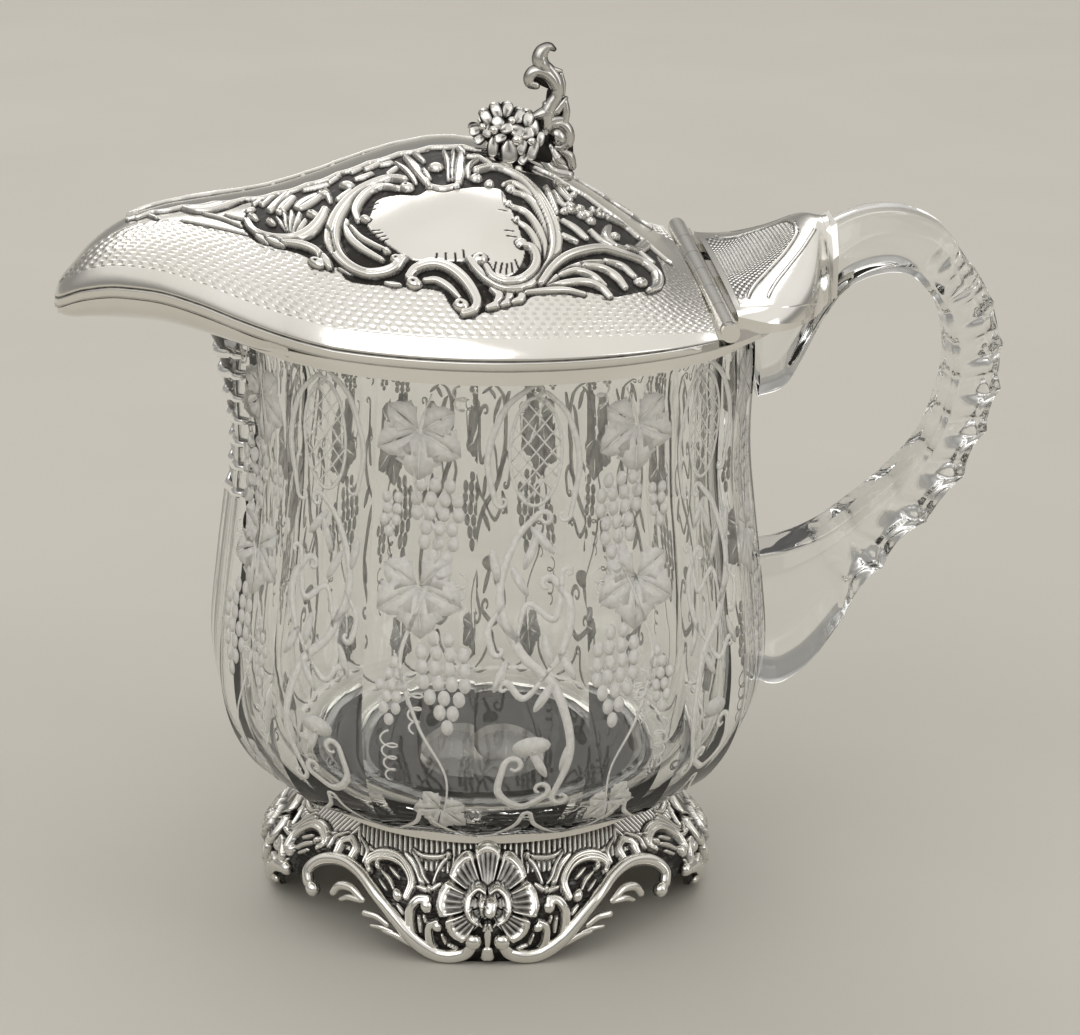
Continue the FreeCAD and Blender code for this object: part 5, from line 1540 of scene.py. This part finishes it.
def engrave_vine(cut):
    cut.scroll([(-5, 44), (-7, 58), (0, 72), (5, 88), (1, 102), (-4, 118), (2, 132), (2, 146), (-2, 158)], 0.55)
    cut.vine_leaf((1.0, 148), 13.2, 0.05)
    cut.vine_leaf((1.0, 108), 13.6, -0.08)
    cut.vine_leaf((-5.0, 48), 8.5, 0.3)
    cut.grapes((-3.0, 134), (3, 4, 4, 3, 3, 2, 1), 1.85, -0.25)
    cut.grapes((-5.5, 95), (2, 4, 4, 4, 3, 2, 1), 1.9, -0.35)
    cut.grapes((6.5, 88), (1, 2, 3, 2, 2, 1), 1.5, 0.2)
    cut.grapes((8.0, 130), (2, 2, 2, 1), 1.45, 0.3)
    cut.tendril((-9.5, 112), 2.5, 2.2, -1)
    cut.tendril((1.0, 84), 3.5, 2.4, 1)
    cut.tendril((7.5, 70), 3.5, 2.4, 1)
    cut.tendril((-9.0, 160), 2.0, 2.0, 1)


def engrave_scroll(cut):
    cut.scroll([(6, 52), (10, 66), (6, 82), (-3, 92), (-8, 106), (-4, 120), (2, 127)], 1.25, (2.2, 0.9, -1),
               (2.4, 0.9, 1))
    cut.scroll([(2, 84), (8, 92), (10, 103), (6, 110)], 1.1, (2.2, 0.8, 1))
    cut.scroll([(-4, 94), (-1, 104), (6, 100), (8, 112)], 0.9, (1.6, 0.8, -1))
    cut.scroll([(-7, 104), (-11, 98), (-10, 92)], 0.9, (1.6, 0.8, 1))
    cut.scroll([(4, 86), (-2, 80), (-6, 84)], 0.9, (1.6, 0.9, 1))
    for across, height, turn in ((-3, 110, 0.5), (0, 117, -0.4), (-9, 114, 0.2), (3, 120, 0.7), (9, 88, 0.5),
                                 (3, 80, -0.6), (-6, 98, 0.7), (4, 92, 0.2), (9, 64, -0.3), (2, 62, 0.5),
                                 (-8, 86, -0.4)):
        cut.oval((across, height), 1.2, 4.6, turn)
    cut.scroll([(-7, 62), (-8, 54), (-2, 49), (4, 52)], 1.0, (2.6, 0.9, 1), (2.8, 0.9, -1))
    cut.oval((0, 67), 5.0, 2.6, 0.1)
    # Trellis in an oval frame
    middle, half_width, half_height = (1.0, 143.0), 6.5, 14.0
    frame_line = [(middle[0] + half_width * math.sin(t), middle[1] + half_height * math.cos(t))
                  for t in np.linspace(0, 2 * math.pi, 25)]
    cut.line(smooth_path(frame_line, 1.0), 0.45)
    for k in range(-4, 5):
        for slope in (-1, 1):
            line = []
            for t in np.linspace(-1, 1, 41):
                spot = (middle[0] + t * half_width, middle[1] + k * 5.0 + slope * t * half_width * 1.2)
                inside = ((spot[0] - middle[0]) / half_width) ** 2 + ((spot[1] - middle[1]) / half_height) ** 2
                if inside < 0.96:
                    line.append(spot)
            if len(line) > 4:
                cut.line(smooth_path([line[0], line[-1]], 2.0), 0.22)
    cut.scroll([(-9, 130), (-11, 142), (-7, 154), (0, 160)], 0.9, (2.0, 0.9, -1), (1.8, 0.8, 1))
    cut.scroll([(10, 126), (12, 140), (9, 152), (4, 158)], 0.8, (1.8, 0.9, 1), (1.8, 0.8, -1))


def engrave_base(cut):
    """Border of loops under every panel."""
    for side in (-1, 1):
        cut.scroll([(side * 1.0, 46), (side * 2.6, 42), (side * 7.5, 38.2), (side * 10.5, 37.0)], 0.6,
                   None, (1.5, 0.8, side))
        cut.scroll([(side * 3.5, 36.6), (side * 7.0, 36.0), (side * 10.0, 36.3)], 0.35)


# Mitre cuts under the beak: heights in millimetres, half turn, and rise from the middle to the ends
THROAT_CUTS = (153.0, 147.5, 141.5, 135.5, 129.5, 123.0, 116.0)
THROAT_TURN = math.radians(19.0)
THROAT_RISE = 4.5


def build_throat(surface):
    parts = []
    for height in THROAT_CUTS:
        path = []
        for share in np.linspace(-1, 1, 31):
            turn = math.pi + share * THROAT_TURN
            ray = np.array([math.cos(turn), math.sin(turn), 0.0])
            start = ray * 120 + (0.0, 0.0, height + THROAT_RISE * (abs(share) - 0.5))
            hit = surface.ray_cast(Vector(start * MM), Vector(-ray))[0]
            path.append(np.array(hit) / MM + ray * 0.15)
        path = np.array(path)
        parts.append(tube_mesh(path, swell(len(path), 1.5, 0.45, 0.45), 10))
    points, faces = gather(parts)
    piece = make_object("glass_throat_cuts", points, faces, CLEAR_GLASS, "jug")


def build_engraving(surface):
    cut = Engraving(surface)
    for panel in range(PANEL_COUNT):
        cut.panel = panel
        cut.flip = 1 if panel % 4 < 2 else -1
        if panel not in (0, PANEL_COUNT // 2):
            if panel % 2:
                engrave_vine(cut)
            else:
                engrave_scroll(cut)
        engrave_base(cut)
    points, faces = gather(cut.parts)
    piece = make_object("glass_engraving", points, faces, engraving_material(), "jug")


# Stage and light

STAGE_COLOUR = (0.52, 0.50, 0.45)


def add_stage():
    size = 5000.0
    points = [(-size, -size, 0.0), (size, -size, 0.0), (size, size, 0.0), (-size, size, 0.0)]
    floor = make_object("floor", points, [(0, 1, 2, 3)], stage_material("floor", STAGE_COLOUR, 0.02), None)


def add_light(name, place, aim, width, height, power):
    data = bpy.data.lights.new(name, "AREA")
    data.shape = "RECTANGLE"
    data.size = width
    data.size_y = height
    data.energy = power
    lamp = bpy.data.objects.new(name, data)
    bpy.context.scene.collection.objects.link(lamp)
    lamp.location = place
    lamp.rotation_euler = (Vector(aim) - Vector(place)).to_track_quat("-Z", "Y").to_euler()


def add_world():
    world = bpy.data.worlds.new("studio")
    world.use_nodes = True
    nodes, links = world.node_tree.nodes, world.node_tree.links
    nodes.clear()
    coordinates = nodes.new("ShaderNodeTexCoord")
    split = nodes.new("ShaderNodeSeparateXYZ")
    ramp = nodes.new("ShaderNodeValToRGB")
    background = nodes.new("ShaderNodeBackground")
    output = nodes.new("ShaderNodeOutputWorld")
    links.new(coordinates.outputs["Generated"], split.inputs["Vector"])
    links.new(split.outputs["Z"], ramp.inputs["Fac"])
    elements = ramp.color_ramp.elements
    elements[0].position, elements[0].color = 0.0, (0.34, 0.33, 0.30, 1.0)
    elements[1].position, elements[1].color = 0.95, (0.92, 0.90, 0.86, 1.0)
    for height, level in ((0.16, 0.26), (0.30, 0.46), (0.45, 0.80)):
        element = elements.new(height)
        element.color = (level, level * 0.975, level * 0.93, 1.0)
    links.new(ramp.outputs["Color"], background.inputs["Color"])
    links.new(background.outputs["Background"], output.inputs["Surface"])
    bpy.context.scene.world = world


def set_materials():
    """Better materials for the nodes of the frame that stay."""
    for name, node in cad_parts.items():
        if name == "glass_handle":
            material = HANDLE_GLASS
        elif name == "glass_body":
            material = CLEAR_GLASS
        elif name.endswith("plaster"):
            material = PLASTER
        elif name in ("foot_seat", "handle_cuff"):
            material = MATT_SILVER
        else:
            material = PLAIN_SILVER
        if not node.material_slots:
            node.data.materials.append(material)
        for slot in node.material_slots:
            slot.material = material


set_materials()
build_lid()
build_foot()
build_borders()
build_shells()
build_finial_scroll()
build_finial_spray()
build_plate()
glass_skin = glass_surface()
build_handle(glass_skin)
build_throat(glass_skin)
build_engraving(glass_skin)
add_stage()
add_light("key", (-0.8, -1.2, 1.3), (0.0, 0.0, 0.12), 2.0, 1.4, 8.0)
add_light("fill", (1.3, -0.8, 0.8), (0.0, 0.0, 0.12), 0.6, 1.2, 3.0)
add_light("back", (-0.2, 1.4, 1.2), (0.0, 0.0, 0.12), 1.8, 0.6, 4.5)
add_world()
add_camera()
bpy.context.scene.view_settings.view_transform = "Standard"
